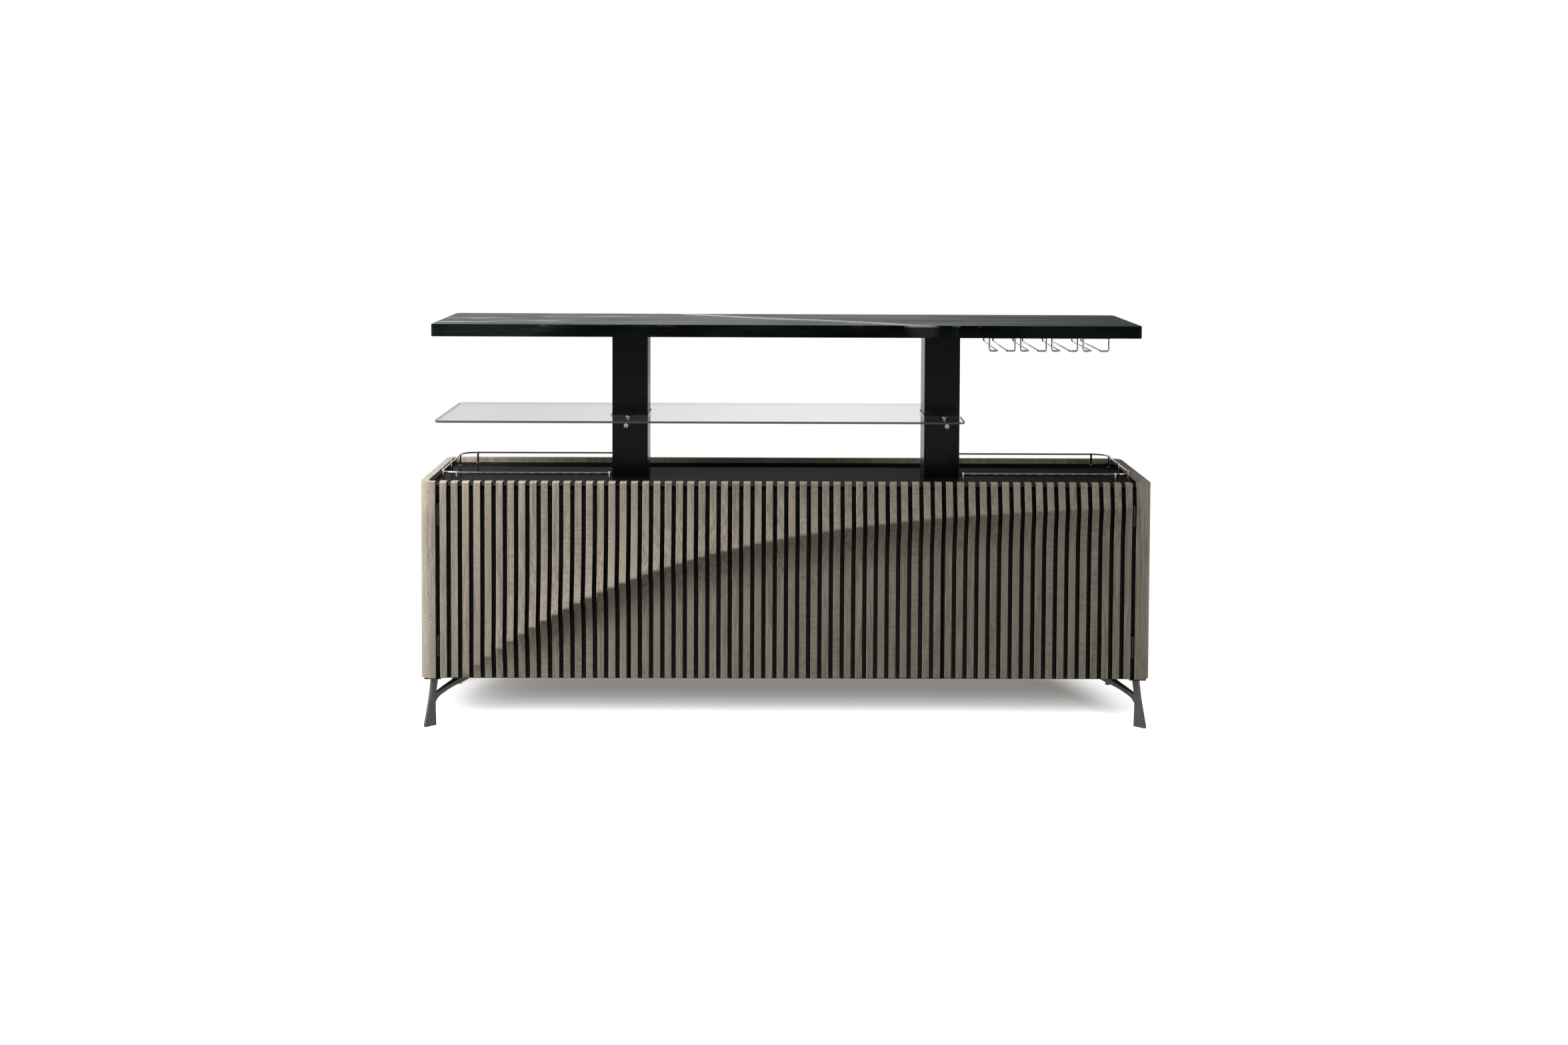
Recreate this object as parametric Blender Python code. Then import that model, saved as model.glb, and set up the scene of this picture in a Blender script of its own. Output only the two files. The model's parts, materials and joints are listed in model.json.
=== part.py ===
"""Bar sideboard: a slatted cabinet with two doors and a bottle drawer, carrying two columns, a stone
counter, a glass shelf, gallery rails and a stemware rack. Metres, +Z up, front towards -Y."""

import math

import bmesh
import bpy
from mathutils import Vector

# Fits
FIT = 0.0003  # between two pieces that touch
DOOR_GAP = 0.003  # round the fronts

# Cabinet body
BODY_WIDTH = 2.000
BODY_DEPTH = 0.522
BODY_HEIGHT = 0.542
GROUND_CLEARANCE = 0.134
SHELL_WALL = 0.020
CORNER_RADIUS = 0.034
POST_FLAT = 0.009
BACK_RETURN = 0.066
BOARD = 0.018
BASE_BOARD = 0.004
BASE_INSET = 0.010
DECK_DROP = 0.014
DECK_GLASS = 0.006
DECK_SETBACK = 0.028
SHELF_HEIGHT = 0.262  # above the body's underside
SHELF_HOUSING = 0.006  # depth of the grooves that hold a shelf
SHELF_BACK_GAP = 0.040

# Slatted fronts
SLAT_WIDTH = 0.0188
WANTED_PITCH = 0.0307
DOOR_SLATS = 17
SLAT_DEPTH = 0.0245
SLAT_SHEET = 0.002
FRONT_LIFT = 0.0015  # fronts above the body's underside

# The dune carved into the slats
RIDGE_PROUD = 0.036
RIDGE_BELOW_TOP = 0.0445  # the level that it nears at the right
RIDGE_BELOW_BOTTOM = 0.009  # where its curve starts at the left
RIDGE_ABOVE_BOTTOM = 0.010  # the lowest that it is carved
RIDGE_START_INSET = 0.100
RIDGE_REACH = 0.562
FADE_END_INSET = 0.300
RISE_START_INSET = 0.080
RISE_WIDTH = 0.330
FADE_SHARE = 0.45
FADE_BEND = 1.5
END_FADE_WIDTH = 0.120
SWEEP_ABOVE = 0.220
SWEEP_BELOW = 0.130
DISH_DEPTH = 0.008
DISH_CENTRE = 0.370
DISH_REACH = 0.400

# Legs
FOOT_SIDE_INSET = 0.0113
FOOT_LENGTH = 0.031
LIMB_WIDTH = 0.0145
LEG_THICKNESS = 0.012
STRUT_THICKNESS = 0.022
STRUT_REACH = 0.176

# Columns, counter and shelf
COLUMN_SPACING = 0.879
COLUMN_WIDTH = 0.100
COLUMN_DEPTH = 0.140
COLUMN_SETBACK = 0.196
COLUMN_WALL = 0.003
COLUMN_EDGE = 0.003
COUNTER_WIDTH = 1.942
COUNTER_DEPTH = 0.480
COUNTER_SETBACK = 0.022
COUNTER_THICKNESS = 0.034
COUNTER_CORNER = 0.011
COUNTER_HEIGHT = 1.105
STONE = 0.012
GLASS_THICKNESS = 0.006
GLASS_TOP = 0.8405
GLASS_END_INSET = 0.008
GLASS_CORNER = 0.020
GLASS_HOLE_SIDE = 0.003
GLASS_HOLE_FRONT = 0.022
BAR_RADIUS = 0.0065
BAR_SETBACK = 0.030
BAR_SOCKET_RADIUS = 0.0035
BAR_SOCKET_DEPTH = 0.008
CAP_REACH = 0.070  # from a column's face to the cap
CAP_RADIUS = 0.007
CAP_HEIGHT = 0.0045
SCREW_RADIUS = 0.003
SCREW_CLEARANCE = 0.0015

# Gallery rails
RAIL_RADIUS = 0.0025
RAIL_HEIGHT = 0.032
RAIL_END = 0.484
RAIL_SIDE_INSET = 0.0495
RAIL_FRONT_SETBACK = 0.055
RAIL_BACK_SETBACK = 0.478
RAIL_BEND = 0.044
RAIL_POST_PAST_BEND = 0.012
POST_RADIUS = 0.003
POST_FOOT_RADIUS = 0.0055
POST_FOOT_HEIGHT = 0.002

# Stemware rack
HOLDER_COUNT = 4
HOLDER_PITCH = 0.0859
HOLDER_END_INSET = 0.1218  # from the counter's right end to the last holder's middle
WIRE_RADIUS = 0.0025
RISER_SPACING = 0.0704
WIRE_SPACING = 0.0270
WIRE_DROP = 0.037
WIRE_SETBACK = 0.030  # behind the counter's front edge
WIRE_LENGTH = 0.360
WIRE_BEND = 0.006
WIRE_TURN = 0.010
STRAP_THICKNESS = 0.002
STRAP_WIDTH = 0.014

# Hinges
HINGE_SETBACK = 0.005
HINGE_LENGTH = 0.060
HINGE_FROM_END = 0.090
KNUCKLE_RADIUS = 0.0032
KNUCKLE_GAP = 0.0004
PIN_RADIUS = 0.0015
PIN_PLAY = 0.0002
LEAF = 0.0015
PANEL_LAP = 0.014  # a door panel behind its post

# Drawer
DRAWER_BOX_DEPTH = 0.430
DRAWER_SIDE_HEIGHT = 0.260
DRAWER_SIDE = 0.015
DRAWER_BOTTOM = 0.008
DRAWER_LIFT = 0.012
RUNNER_SPACE = 0.0135
RUNNER_LENGTH = 0.420
RUNNER_HEIGHT = 0.045
RUNNER_METAL = 0.0015
RUNNER_PLAY = 0.0005
RUNNER_LEVEL = 0.075  # above the drawer's bottom

# Magnetic catches
CATCH_WIDTH = 0.040
CATCH_HEIGHT = 0.014
CATCH_DEPTH = 0.026
CATCH_GAP = 0.0005

ARC_STEPS = 6
ROUND_SIDES = 16

# Places that follow from the sizes
Y_FRONT = RIDGE_PROUD - (BODY_DEPTH + RIDGE_PROUD) / 2
Y_BACK = Y_FRONT + BODY_DEPTH
BODY_LOW = GROUND_CLEARANCE
BODY_TOP = BODY_LOW + BODY_HEIGHT
HALF_WIDTH = BODY_WIDTH / 2
INNER_HALF = HALF_WIDTH - SHELL_WALL
INNER_BACK = Y_BACK - SHELL_WALL
POST_WIDTH = CORNER_RADIUS + POST_FLAT
RETURN_END = HALF_WIDTH - CORNER_RADIUS - BACK_RETURN
BASE_TOP = BODY_LOW - FIT
BASE_LOW = BASE_TOP - BASE_BOARD
FLOOR_TOP = BODY_LOW + BOARD
DECK_TOP = BODY_TOP - DECK_DROP
DECK_LOW = DECK_TOP - DECK_GLASS
TOP_PANEL_TOP = DECK_LOW - FIT
TOP_PANEL_LOW = TOP_PANEL_TOP - BOARD

OPENING = BODY_WIDTH - 2 * POST_WIDTH
SLAT_COUNT = round((OPENING + SLAT_WIDTH) / WANTED_PITCH) - 1
SLAT_PITCH = (OPENING + SLAT_WIDTH) / (SLAT_COUNT + 1)
SLAT_GAP = SLAT_PITCH - SLAT_WIDTH
SPLIT_X = OPENING / 2 - DOOR_SLATS * SLAT_PITCH - SLAT_GAP / 2  # between a door and the drawer
SHEET_FRONT = Y_FRONT + SLAT_DEPTH
SHEET_BACK = SHEET_FRONT + SLAT_SHEET
PANEL_FRONT = SHEET_BACK + FIT
PANEL_BACK = PANEL_FRONT + BOARD
CARCASS_FRONT = PANEL_BACK + DOOR_GAP
FRONT_LOW = BODY_LOW + FRONT_LIFT
PANEL_TOP = DECK_LOW - DOOR_GAP

COLUMN_X = COLUMN_SPACING / 2
COLUMN_FRONT = Y_FRONT + COLUMN_SETBACK
COLUMN_BACK = COLUMN_FRONT + COLUMN_DEPTH
COUNTER_FRONT = Y_FRONT + COUNTER_SETBACK
COUNTER_BACK = COUNTER_FRONT + COUNTER_DEPTH
COUNTER_LOW = COUNTER_HEIGHT - COUNTER_THICKNESS
GLASS_LOW = GLASS_TOP - GLASS_THICKNESS
BAR_Z = GLASS_LOW - FIT - BAR_RADIUS
CAP_Y = (COLUMN_FRONT - CAP_REACH, COLUMN_BACK + CAP_REACH)
HINGE_X = OPENING / 2 - SLAT_GAP / 2
HINGE_Y = Y_FRONT + HINGE_SETBACK
DIVIDER_INNER = SPLIT_X - BOARD / 2


def material(name, colour, roughness, metallic=0.0, alpha=1.0, transmission=0.0):
    made = bpy.data.materials.new(name)
    made.use_nodes = True
    made.diffuse_color = (*colour, alpha)
    shader = made.node_tree.nodes["Principled BSDF"]
    shader.inputs["Base Color"].default_value = (*colour, 1.0)
    shader.inputs["Roughness"].default_value = roughness
    shader.inputs["Metallic"].default_value = metallic
    shader.inputs["Alpha"].default_value = alpha
    shader.inputs["Transmission Weight"].default_value = transmission
    return made


def add(name, mesh, finish):
    mesh.name = name
    mesh.materials.clear()
    mesh.materials.append(finish)
    mesh.set_sharp_from_angle(angle=math.radians(35))
    thing = bpy.data.objects.new(name, mesh)
    bpy.context.scene.collection.objects.link(thing)
    return thing


def mesh_from(bm):
    bmesh.ops.recalc_face_normals(bm, faces=bm.faces)
    if bm.calc_volume(signed=True) < 0:
        bmesh.ops.reverse_faces(bm, faces=bm.faces)
    mesh = bpy.data.meshes.new("mesh")
    bm.to_mesh(mesh)
    bm.free()
    mesh.shade_smooth()
    return mesh


def prism(outline, low, high, axis="z"):
    """An outline of (x, y) points raised from low to high, or of (x, z) points drawn along y."""
    bm = bmesh.new()
    if axis == "z":
        verts = [bm.verts.new((a, b, low)) for a, b in outline]
        step = Vector((0, 0, high - low))
    else:
        verts = [bm.verts.new((a, low, b)) for a, b in outline]
        step = Vector((0, high - low, 0))
    base = bm.faces.new(verts)
    raised = bmesh.ops.extrude_face_region(bm, geom=[base])["geom"]
    moved = [item for item in raised if isinstance(item, bmesh.types.BMVert)]
    bmesh.ops.translate(bm, verts=moved, vec=step)
    return mesh_from(bm)


def rectangle(x_low, x_high, y_low, y_high):
    return [(x_low, y_low), (x_high, y_low), (x_high, y_high), (x_low, y_high)]


def block(x_range, y_range, z_range):
    return prism(rectangle(*x_range, *y_range), *z_range)


def arc(centre, radius, start, end, steps=ARC_STEPS):
    """Points from the start angle to the end angle, in degrees."""
    turns = [math.radians(start + (end - start) * i / steps) for i in range(steps + 1)]
    return [(centre[0] + radius * math.cos(t), centre[1] + radius * math.sin(t)) for t in turns]


def rounded_rectangle(x_low, x_high, y_low, y_high, radius, steps=ARC_STEPS):
    return (
        arc((x_low + radius, y_low + radius), radius, 180, 270, steps)
        + arc((x_high - radius, y_low + radius), radius, 270, 360, steps)
        + arc((x_high - radius, y_high - radius), radius, 0, 90, steps)
        + arc((x_low + radius, y_high - radius), radius, 90, 180, steps)
    )


def mirrored(outline, side):
    return [(side * x, y) for x, y in outline]


def side_range(side, near, far):
    """The x range between two distances from the middle, on the left (-1) or the right (1)."""
    return tuple(sorted((side * near, side * far)))


def cylinder(centre, radius, low, high, axis="z", sides=ROUND_SIDES):
    turns = [2 * math.pi * i / sides for i in range(sides)]
    ring = [(centre[0] + radius * math.cos(t), centre[1] + radius * math.sin(t)) for t in turns]
    return prism(ring, low, high, axis)


def tube(points, radius, resolution=2):
    """A round rod along the points."""
    curve = bpy.data.curves.new("rod", "CURVE")
    curve.dimensions = "3D"
    curve.bevel_depth = radius
    curve.bevel_resolution = resolution
    curve.use_fill_caps = True
    spline = curve.splines.new("POLY")
    spline.points.add(len(points) - 1)
    for spot, place in zip(spline.points, points):
        spot.co = (*place, 1)
    rod = bpy.data.objects.new("rod", curve)
    bpy.context.scene.collection.objects.link(rod)
    graph = bpy.context.evaluated_depsgraph_get()
    mesh = bpy.data.meshes.new_from_object(rod.evaluated_get(graph))
    bpy.data.objects.remove(rod)
    bm = bmesh.new()
    bm.from_mesh(mesh)
    bmesh.ops.remove_doubles(bm, verts=bm.verts, dist=1e-6)
    return mesh_from(bm)


def combined(base, others, operation):
    """The base mesh after one exact Boolean with each of the others."""
    body = bpy.data.objects.new("body", base)
    bpy.context.scene.collection.objects.link(body)
    helpers = []
    for mesh in others:
        helper = bpy.data.objects.new("helper", mesh)
        bpy.context.scene.collection.objects.link(helper)
        helpers.append(helper)
        step = body.modifiers.new(operation, "BOOLEAN")
        step.operation = operation
        step.solver = "EXACT"
        step.object = helper
    graph = bpy.context.evaluated_depsgraph_get()
    mesh = bpy.data.meshes.new_from_object(body.evaluated_get(graph))
    for thing in [body, *helpers]:
        bpy.data.objects.remove(thing)
    return mesh


def cut(base, *cutters):
    return combined(base, cutters, "DIFFERENCE")


def join(base, *others):
    return combined(base, others, "UNION")


def smooth_step(share):
    share = min(1.0, max(0.0, share))
    return share * share * (3 - 2 * share)


def ridge_height(x):
    """The dune's ridge: steep at the lower left, nearly level at the upper right."""
    high = BODY_TOP - RIDGE_BELOW_TOP
    low = BODY_LOW - RIDGE_BELOW_BOTTOM
    run = x + HALF_WIDTH - RIDGE_START_INSET
    return max(BODY_LOW + RIDGE_ABOVE_BOTTOM, high - (high - low) * math.exp(-run / RIDGE_REACH))


def ridge_proud(x):
    """How far the ridge stands in front of the posts' plane."""
    rise = smooth_step((x + HALF_WIDTH - RISE_START_INSET) / RISE_WIDTH)
    peak = -HALF_WIDTH + RISE_START_INSET + RISE_WIDTH
    fade_span = HALF_WIDTH - FADE_END_INSET - peak
    fade = 1 - FADE_SHARE * max(0.0, (x - peak) / fade_span) ** FADE_BEND
    end_fade = smooth_step((HALF_WIDTH - x) / END_FADE_WIDTH)
    return RIDGE_PROUD * rise * fade * end_fade


def face_proud(x, z):
    """How far a slat's face stands in front of the posts' plane, at one place."""
    ridge = ridge_height(x)
    proud = ridge_proud(x)
    if z >= ridge:
        reach = min(SWEEP_ABOVE, BODY_TOP - ridge)
        bend = 1.3 + 0.7 * reach / SWEEP_ABOVE
        return proud * max(0.0, 1 - (z - ridge) / reach) ** bend
    dish = DISH_DEPTH * smooth_step(1 - abs(x - DISH_CENTRE) / DISH_REACH)
    fall = max(0.0, 1 - (ridge - z) / min(SWEEP_BELOW, ridge - FRONT_LOW)) ** 2
    return (proud + dish) * fall - dish


def slat_rows(x):
    """Heights of a slat's cross lines: close together near the ridge, where its face turns."""
    ridge = ridge_height(x)
    below = min(SWEEP_BELOW, 0.92 * (ridge - FRONT_LOW))
    above = min(SWEEP_ABOVE, 0.92 * (BODY_TOP - ridge))
    return (
        [FRONT_LOW]
        + [ridge - below * share for share in (1.0, 0.62, 0.32, 0.12)]
        + [ridge]
        + [ridge + above * share for share in (0.12, 0.32, 0.62, 1.0)]
        + [BODY_TOP]
    )


def slat_left(number):
    return -OPENING / 2 + SLAT_GAP + number * SLAT_PITCH


def slat_front(first, last):
    """Slats first to last as one comb. Its backing sheet ends where the deck begins."""
    bm = bmesh.new()
    lines = []
    for number in range(first, last + 1):
        left = slat_left(number)
        right = left + SLAT_WIDTH
        corners = [(left, False), (left, True), (right, True), (right, False)]
        if number == first:
            corners.pop(0)
        if number == last:
            corners.pop()
        lines += corners
    start = slat_left(first)
    end = slat_left(last) + SLAT_WIDTH
    lines = [(start, None), *lines, (end, None)]
    grid = []
    for x, on_face in lines:
        column = []
        for z in slat_rows(x):
            y = SHEET_BACK if on_face is None else SHEET_FRONT
            if on_face:
                y = Y_FRONT - face_proud(x, z)
            column.append(bm.verts.new((x, y, z)))
        grid.append(column)
    for this, following in zip(grid, [*grid[1:], grid[0]]):
        for row in range(len(this) - 1):
            bm.faces.new((this[row], following[row], following[row + 1], this[row + 1]))
    bm.faces.new([column[0] for column in grid])
    bm.faces.new([column[-1] for column in grid])
    above_sheet = block((start - FIT, end + FIT), (SHEET_FRONT - FIT, SHEET_BACK + FIT), (PANEL_TOP, BODY_TOP + FIT))
    return cut(mesh_from(bm), above_sheet)


def shell_outline():
    """The right end shell in plan: a post's front edge, the side and a return along the back."""
    outer = CORNER_RADIUS
    inner = max(0.001, CORNER_RADIUS - SHELL_WALL)
    middle_x = HALF_WIDTH - CORNER_RADIUS
    front = (middle_x, Y_FRONT + CORNER_RADIUS)
    back = (middle_x, Y_BACK - CORNER_RADIUS)
    return (
        [(HALF_WIDTH - POST_WIDTH, Y_FRONT)]
        + arc(front, outer, 270, 360)
        + arc(back, outer, 0, 90)
        + [(RETURN_END, Y_BACK), (RETURN_END, INNER_BACK)]
        + arc(back, inner, 90, 0)
        + arc(front, inner, 360, 270)
        + [(HALF_WIDTH - POST_WIDTH, Y_FRONT + SHELL_WALL)]
    )


def lining_outline(front):
    """A board that fills the body from its front line to the back, inside the shells' bends."""
    inner = max(0.001, CORNER_RADIUS - SHELL_WALL) - FIT
    middle_x = HALF_WIDTH - CORNER_RADIUS
    middle_y = Y_FRONT + CORNER_RADIUS
    half = [(middle_x + inner, front)]
    if front < middle_y:
        turn = math.degrees(math.asin(min(1.0, (middle_y - front) / inner)))
        half = arc((middle_x, middle_y), inner, 360 - turn, 360, 3)
    half = half + arc((middle_x, Y_BACK - CORNER_RADIUS), inner, 0, 90)
    return half + mirrored(half[::-1], -1)


def make_body():
    for side, word in ((-1, "left"), (1, "right")):
        groove_z = BODY_LOW + SHELF_HEIGHT
        groove = block(
            side_range(side, SPLIT_X + BOARD / 2 - SHELF_HOUSING, INNER_HALF + SHELF_HOUSING),
            (CARCASS_FRONT - 2 * FIT, INNER_BACK - SHELF_BACK_GAP + 2 * FIT),
            (groove_z - FIT, groove_z + BOARD + FIT),
        )
        shell = prism(mirrored(shell_outline(), side), BODY_LOW, BODY_TOP)
        add(f"{word}_side_shell", cut(shell, groove), WOOD)
        divider = block(
            side_range(side, SPLIT_X - BOARD / 2, SPLIT_X + BOARD / 2),
            (CARCASS_FRONT, INNER_BACK - FIT),
            (FLOOR_TOP + FIT, TOP_PANEL_LOW - FIT),
        )
        add(f"{word}_divider", cut(divider, groove.copy()), INNER_WOOD)
        shelf = block(
            side_range(
                side,
                SPLIT_X + BOARD / 2 - SHELF_HOUSING + FIT,
                INNER_HALF + SHELF_HOUSING - FIT,
            ),
            (CARCASS_FRONT, INNER_BACK - SHELF_BACK_GAP),
            (groove_z, groove_z + BOARD),
        )
        add(f"{word}_shelf", shelf, INNER_WOOD)
        catch = block(
            side_range(side, SPLIT_X + BOARD, SPLIT_X + BOARD + CATCH_WIDTH),
            (PANEL_BACK + CATCH_GAP, PANEL_BACK + CATCH_GAP + CATCH_DEPTH),
            (TOP_PANEL_LOW - FIT - CATCH_HEIGHT, TOP_PANEL_LOW - FIT),
        )
        add(f"{word}_door_catch", catch, BLACK_PLASTIC)

    half_back = RETURN_END - FIT
    back = block((-half_back, half_back), (INNER_BACK, Y_BACK), (BODY_LOW, BODY_TOP))
    add("back_panel", back, WOOD)
    floor = prism(lining_outline(CARCASS_FRONT), BODY_LOW, FLOOR_TOP)
    add("floor_panel", floor, INNER_WOOD)
    top = prism(lining_outline(CARCASS_FRONT), TOP_PANEL_LOW, TOP_PANEL_TOP)
    add("top_panel", top, BLACK_BOARD)

    deck = prism(lining_outline(Y_FRONT + DECK_SETBACK), DECK_LOW, DECK_TOP)
    holes = []
    for side in (-1, 1):
        middle = side * COLUMN_X
        half = COLUMN_WIDTH / 2 + FIT
        holes.append(
            block(
                (middle - half, middle + half),
                (COLUMN_FRONT - FIT, COLUMN_BACK + FIT),
                (DECK_LOW - BOARD, DECK_TOP + BOARD),
            )
        )
    add("deck_glass", cut(deck, *holes), BLACK_GLASS)

    ear = HALF_WIDTH - BASE_INSET
    ear_inner = HALF_WIDTH - POST_WIDTH - SLAT_GAP
    base_front = SHEET_BACK
    ear_front = Y_FRONT + BASE_INSET
    half = [
        (ear_inner, base_front),
        (ear_inner, ear_front),
        (ear, ear_front),
        (ear, Y_BACK - BASE_INSET),
    ]
    base = prism(half + mirrored(half[::-1], -1), BASE_LOW, BASE_TOP)
    add("base_board", base, BLACK_BOARD)


def section(centre, along, across, length, thickness):
    """Eight points of a limb's cross-section: a rectangle with clipped corners."""
    clip = thickness / 4
    points = []
    for a, b in ((-1, -1), (1, -1), (1, 1), (-1, 1)):
        long_clip = Vector(along) * (a * (length / 2 - clip)) + Vector(across) * (b * thickness / 2)
        wide_clip = Vector(along) * (a * length / 2) + Vector(across) * (b * (thickness / 2 - clip))
        pair = [wide_clip, long_clip] if a * b > 0 else [long_clip, wide_clip]
        points += [Vector(centre) + offset for offset in pair]
    return points


def loft(sections):
    bm = bmesh.new()
    rings = [[bm.verts.new(point) for point in ring] for ring in sections]
    for lower, upper in zip(rings, rings[1:]):
        for i in range(len(lower)):
            j = (i + 1) % len(lower)
            bm.faces.new((lower[i], lower[j], upper[j], upper[i]))
    bm.faces.new(rings[0])
    bm.faces.new(rings[-1])
    return mesh_from(bm)


def leg_mesh():
    """The right front leg: a blade in the upright plane of its corner's diagonal, which forks."""
    inward = Vector((-1, 1, 0)).normalized()
    across = Vector((1, 1, 0)).normalized()
    up = Vector((0, 0, 1))
    top = BASE_LOW - FIT
    foot_reach = (FOOT_LENGTH + LEG_THICKNESS) / (2 * math.sqrt(2))
    foot = Vector((HALF_WIDTH - FOOT_SIDE_INSET - foot_reach, Y_FRONT + foot_reach, 0))

    blade_neck = LIMB_WIDTH * 1.18
    upright = [
        (0.0, 0.0, FOOT_LENGTH),
        (0.0060, 0.45, blade_neck),
        (0.0085, 0.64, LIMB_WIDTH),
        (0.0130, 1.0, LIMB_WIDTH),
    ]
    blade = loft(
        [
            section(foot + inward * reach + up * (share * top), inward, across, length, LEG_THICKNESS)
            for reach, share, length in upright
        ]
    )

    middle = (LEG_THICKNESS + STRUT_THICKNESS) / 2
    strut_edges = [
        ((0.009, 0.40), (0.001, 0.62), LEG_THICKNESS - 0.0006),
        ((0.0150, 0.51), (0.006, 0.665), LEG_THICKNESS - 0.0006),
        ((0.0270, 0.607), (0.0214, 0.716), LEG_THICKNESS),
        ((0.0505, 0.692), (0.0446, 0.794), LEG_THICKNESS * 0.6 + middle * 0.4),
        ((0.0755, 0.762), (0.0690, 0.866), middle),
        ((0.1250, 0.862), (0.0910, 0.940), STRUT_THICKNESS),
        ((STRUT_REACH, 1.0), (STRUT_REACH - 0.066, 1.0), STRUT_THICKNESS),
    ]
    rings = []
    for (low_reach, low_share), (high_reach, high_share), thickness in strut_edges:
        lower = foot + inward * low_reach + up * (low_share * top)
        upper = foot + inward * high_reach + up * (high_share * top)
        direction = (upper - lower).normalized()
        length = (upper - lower).length
        rings.append(section((lower + upper) / 2, direction, across, length, thickness))
    return join(blade, loft(rings))


def make_legs():
    leg = leg_mesh()
    for depth_side, depth_word in ((1, "front"), (-1, "rear")):
        for side, word in ((-1, "left"), (1, "right")):
            bm = bmesh.new()
            bm.from_mesh(leg)
            for vert in bm.verts:
                vert.co.x *= side
                if depth_side < 0:
                    vert.co.y = Y_FRONT + Y_BACK - vert.co.y
            add(f"{depth_word}_{word}_leg", mesh_from(bm), CAST_METAL)


def make_columns():
    low = TOP_PANEL_TOP + FIT
    high = COUNTER_LOW - FIT
    for side, word in ((-1, "left"), (1, "right")):
        x_low = side * COLUMN_X - COLUMN_WIDTH / 2
        x_high = side * COLUMN_X + COLUMN_WIDTH / 2
        outer = rounded_rectangle(x_low, x_high, COLUMN_FRONT, COLUMN_BACK, COLUMN_EDGE, 2)
        hollow = block(
            (x_low + COLUMN_WALL, x_high - COLUMN_WALL),
            (COLUMN_FRONT + COLUMN_WALL, COLUMN_BACK - COLUMN_WALL),
            (low - BOARD, high + BOARD),
        )
        bar_y = (Y_FRONT + BAR_SETBACK, COLUMN_BACK + COLUMN_FRONT - Y_FRONT - BAR_SETBACK)
        bore = cylinder((side * COLUMN_X, BAR_Z), BAR_RADIUS + FIT, *bar_y, axis="y")
        add(f"{word}_column", cut(prism(outer, low, high), hollow, bore), BLACK_METAL)

        bar = cylinder((side * COLUMN_X, BAR_Z), BAR_RADIUS, *bar_y, axis="y")
        socket = cylinder(
            (side * COLUMN_X, BAR_Z),
            BAR_SOCKET_RADIUS,
            bar_y[0] - BAR_SOCKET_DEPTH,
            bar_y[0] + BAR_SOCKET_DEPTH,
            axis="y",
            sides=8,
        )
        screw_holes = [
            cylinder((side * COLUMN_X, y), SCREW_RADIUS + FIT, BAR_Z, BAR_Z + 2 * BAR_RADIUS, sides=8)
            for y in CAP_Y
        ]
        add(f"{word}_shelf_bar", cut(bar, socket, *screw_holes), CHROME)

        for y, place in zip(CAP_Y, ("front", "rear")):
            head = cylinder((side * COLUMN_X, y), CAP_RADIUS, GLASS_TOP + FIT, GLASS_TOP + CAP_HEIGHT)
            shank = cylinder(
                (side * COLUMN_X, y), SCREW_RADIUS, BAR_Z + FIT, GLASS_TOP + CAP_HEIGHT / 2, sides=8
            )
            add(f"{word}_{place}_shelf_cap", join(head, shank), CHROME)


def make_glass_shelf():
    left = -COUNTER_WIDTH / 2 + GLASS_END_INSET
    right = COLUMN_X + COLUMN_WIDTH / 2
    plate = rounded_rectangle(left, right, COUNTER_FRONT, COUNTER_BACK, GLASS_CORNER, 4)
    cutters = []
    for side in (-1, 1):
        x_low = side * COLUMN_X - COLUMN_WIDTH / 2 - GLASS_HOLE_SIDE
        x_high = side * COLUMN_X + COLUMN_WIDTH / 2 + GLASS_HOLE_SIDE
        if side > 0:
            x_high = right + GLASS_CORNER
        hole = rectangle(
            x_low, x_high, COLUMN_FRONT - GLASS_HOLE_FRONT, COLUMN_BACK + GLASS_HOLE_SIDE
        )
        cutters.append(prism(hole, GLASS_LOW - BAR_RADIUS, GLASS_TOP + BAR_RADIUS))
        for y in CAP_Y:
            cutters.append(
                cylinder(
                    (side * COLUMN_X, y),
                    SCREW_RADIUS + SCREW_CLEARANCE,
                    GLASS_LOW - BAR_RADIUS,
                    GLASS_TOP + BAR_RADIUS,
                    sides=8,
                )
            )
    add("glass_shelf", cut(prism(plate, GLASS_LOW, GLASS_TOP), *cutters), CLEAR_GLASS)


def make_counter():
    half = COUNTER_WIDTH / 2
    slab = prism(
        rounded_rectangle(-half, half, COUNTER_FRONT, COUNTER_BACK, COUNTER_CORNER, 4),
        COUNTER_LOW,
        COUNTER_HEIGHT,
    )
    pocket = block(
        (STONE - half, half - STONE),
        (COUNTER_FRONT + STONE, COUNTER_BACK - STONE),
        (COUNTER_LOW - STONE, COUNTER_HEIGHT - STONE),
    )
    add("counter_top", cut(slab, pocket), DARK_STONE)
    core = block(
        (STONE + FIT - half, half - STONE - FIT),
        (COUNTER_FRONT + STONE + FIT, COUNTER_BACK - STONE - FIT),
        (COUNTER_LOW, COUNTER_HEIGHT - STONE - FIT),
    )
    add("counter_core", core, BLACK_BOARD)


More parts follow.
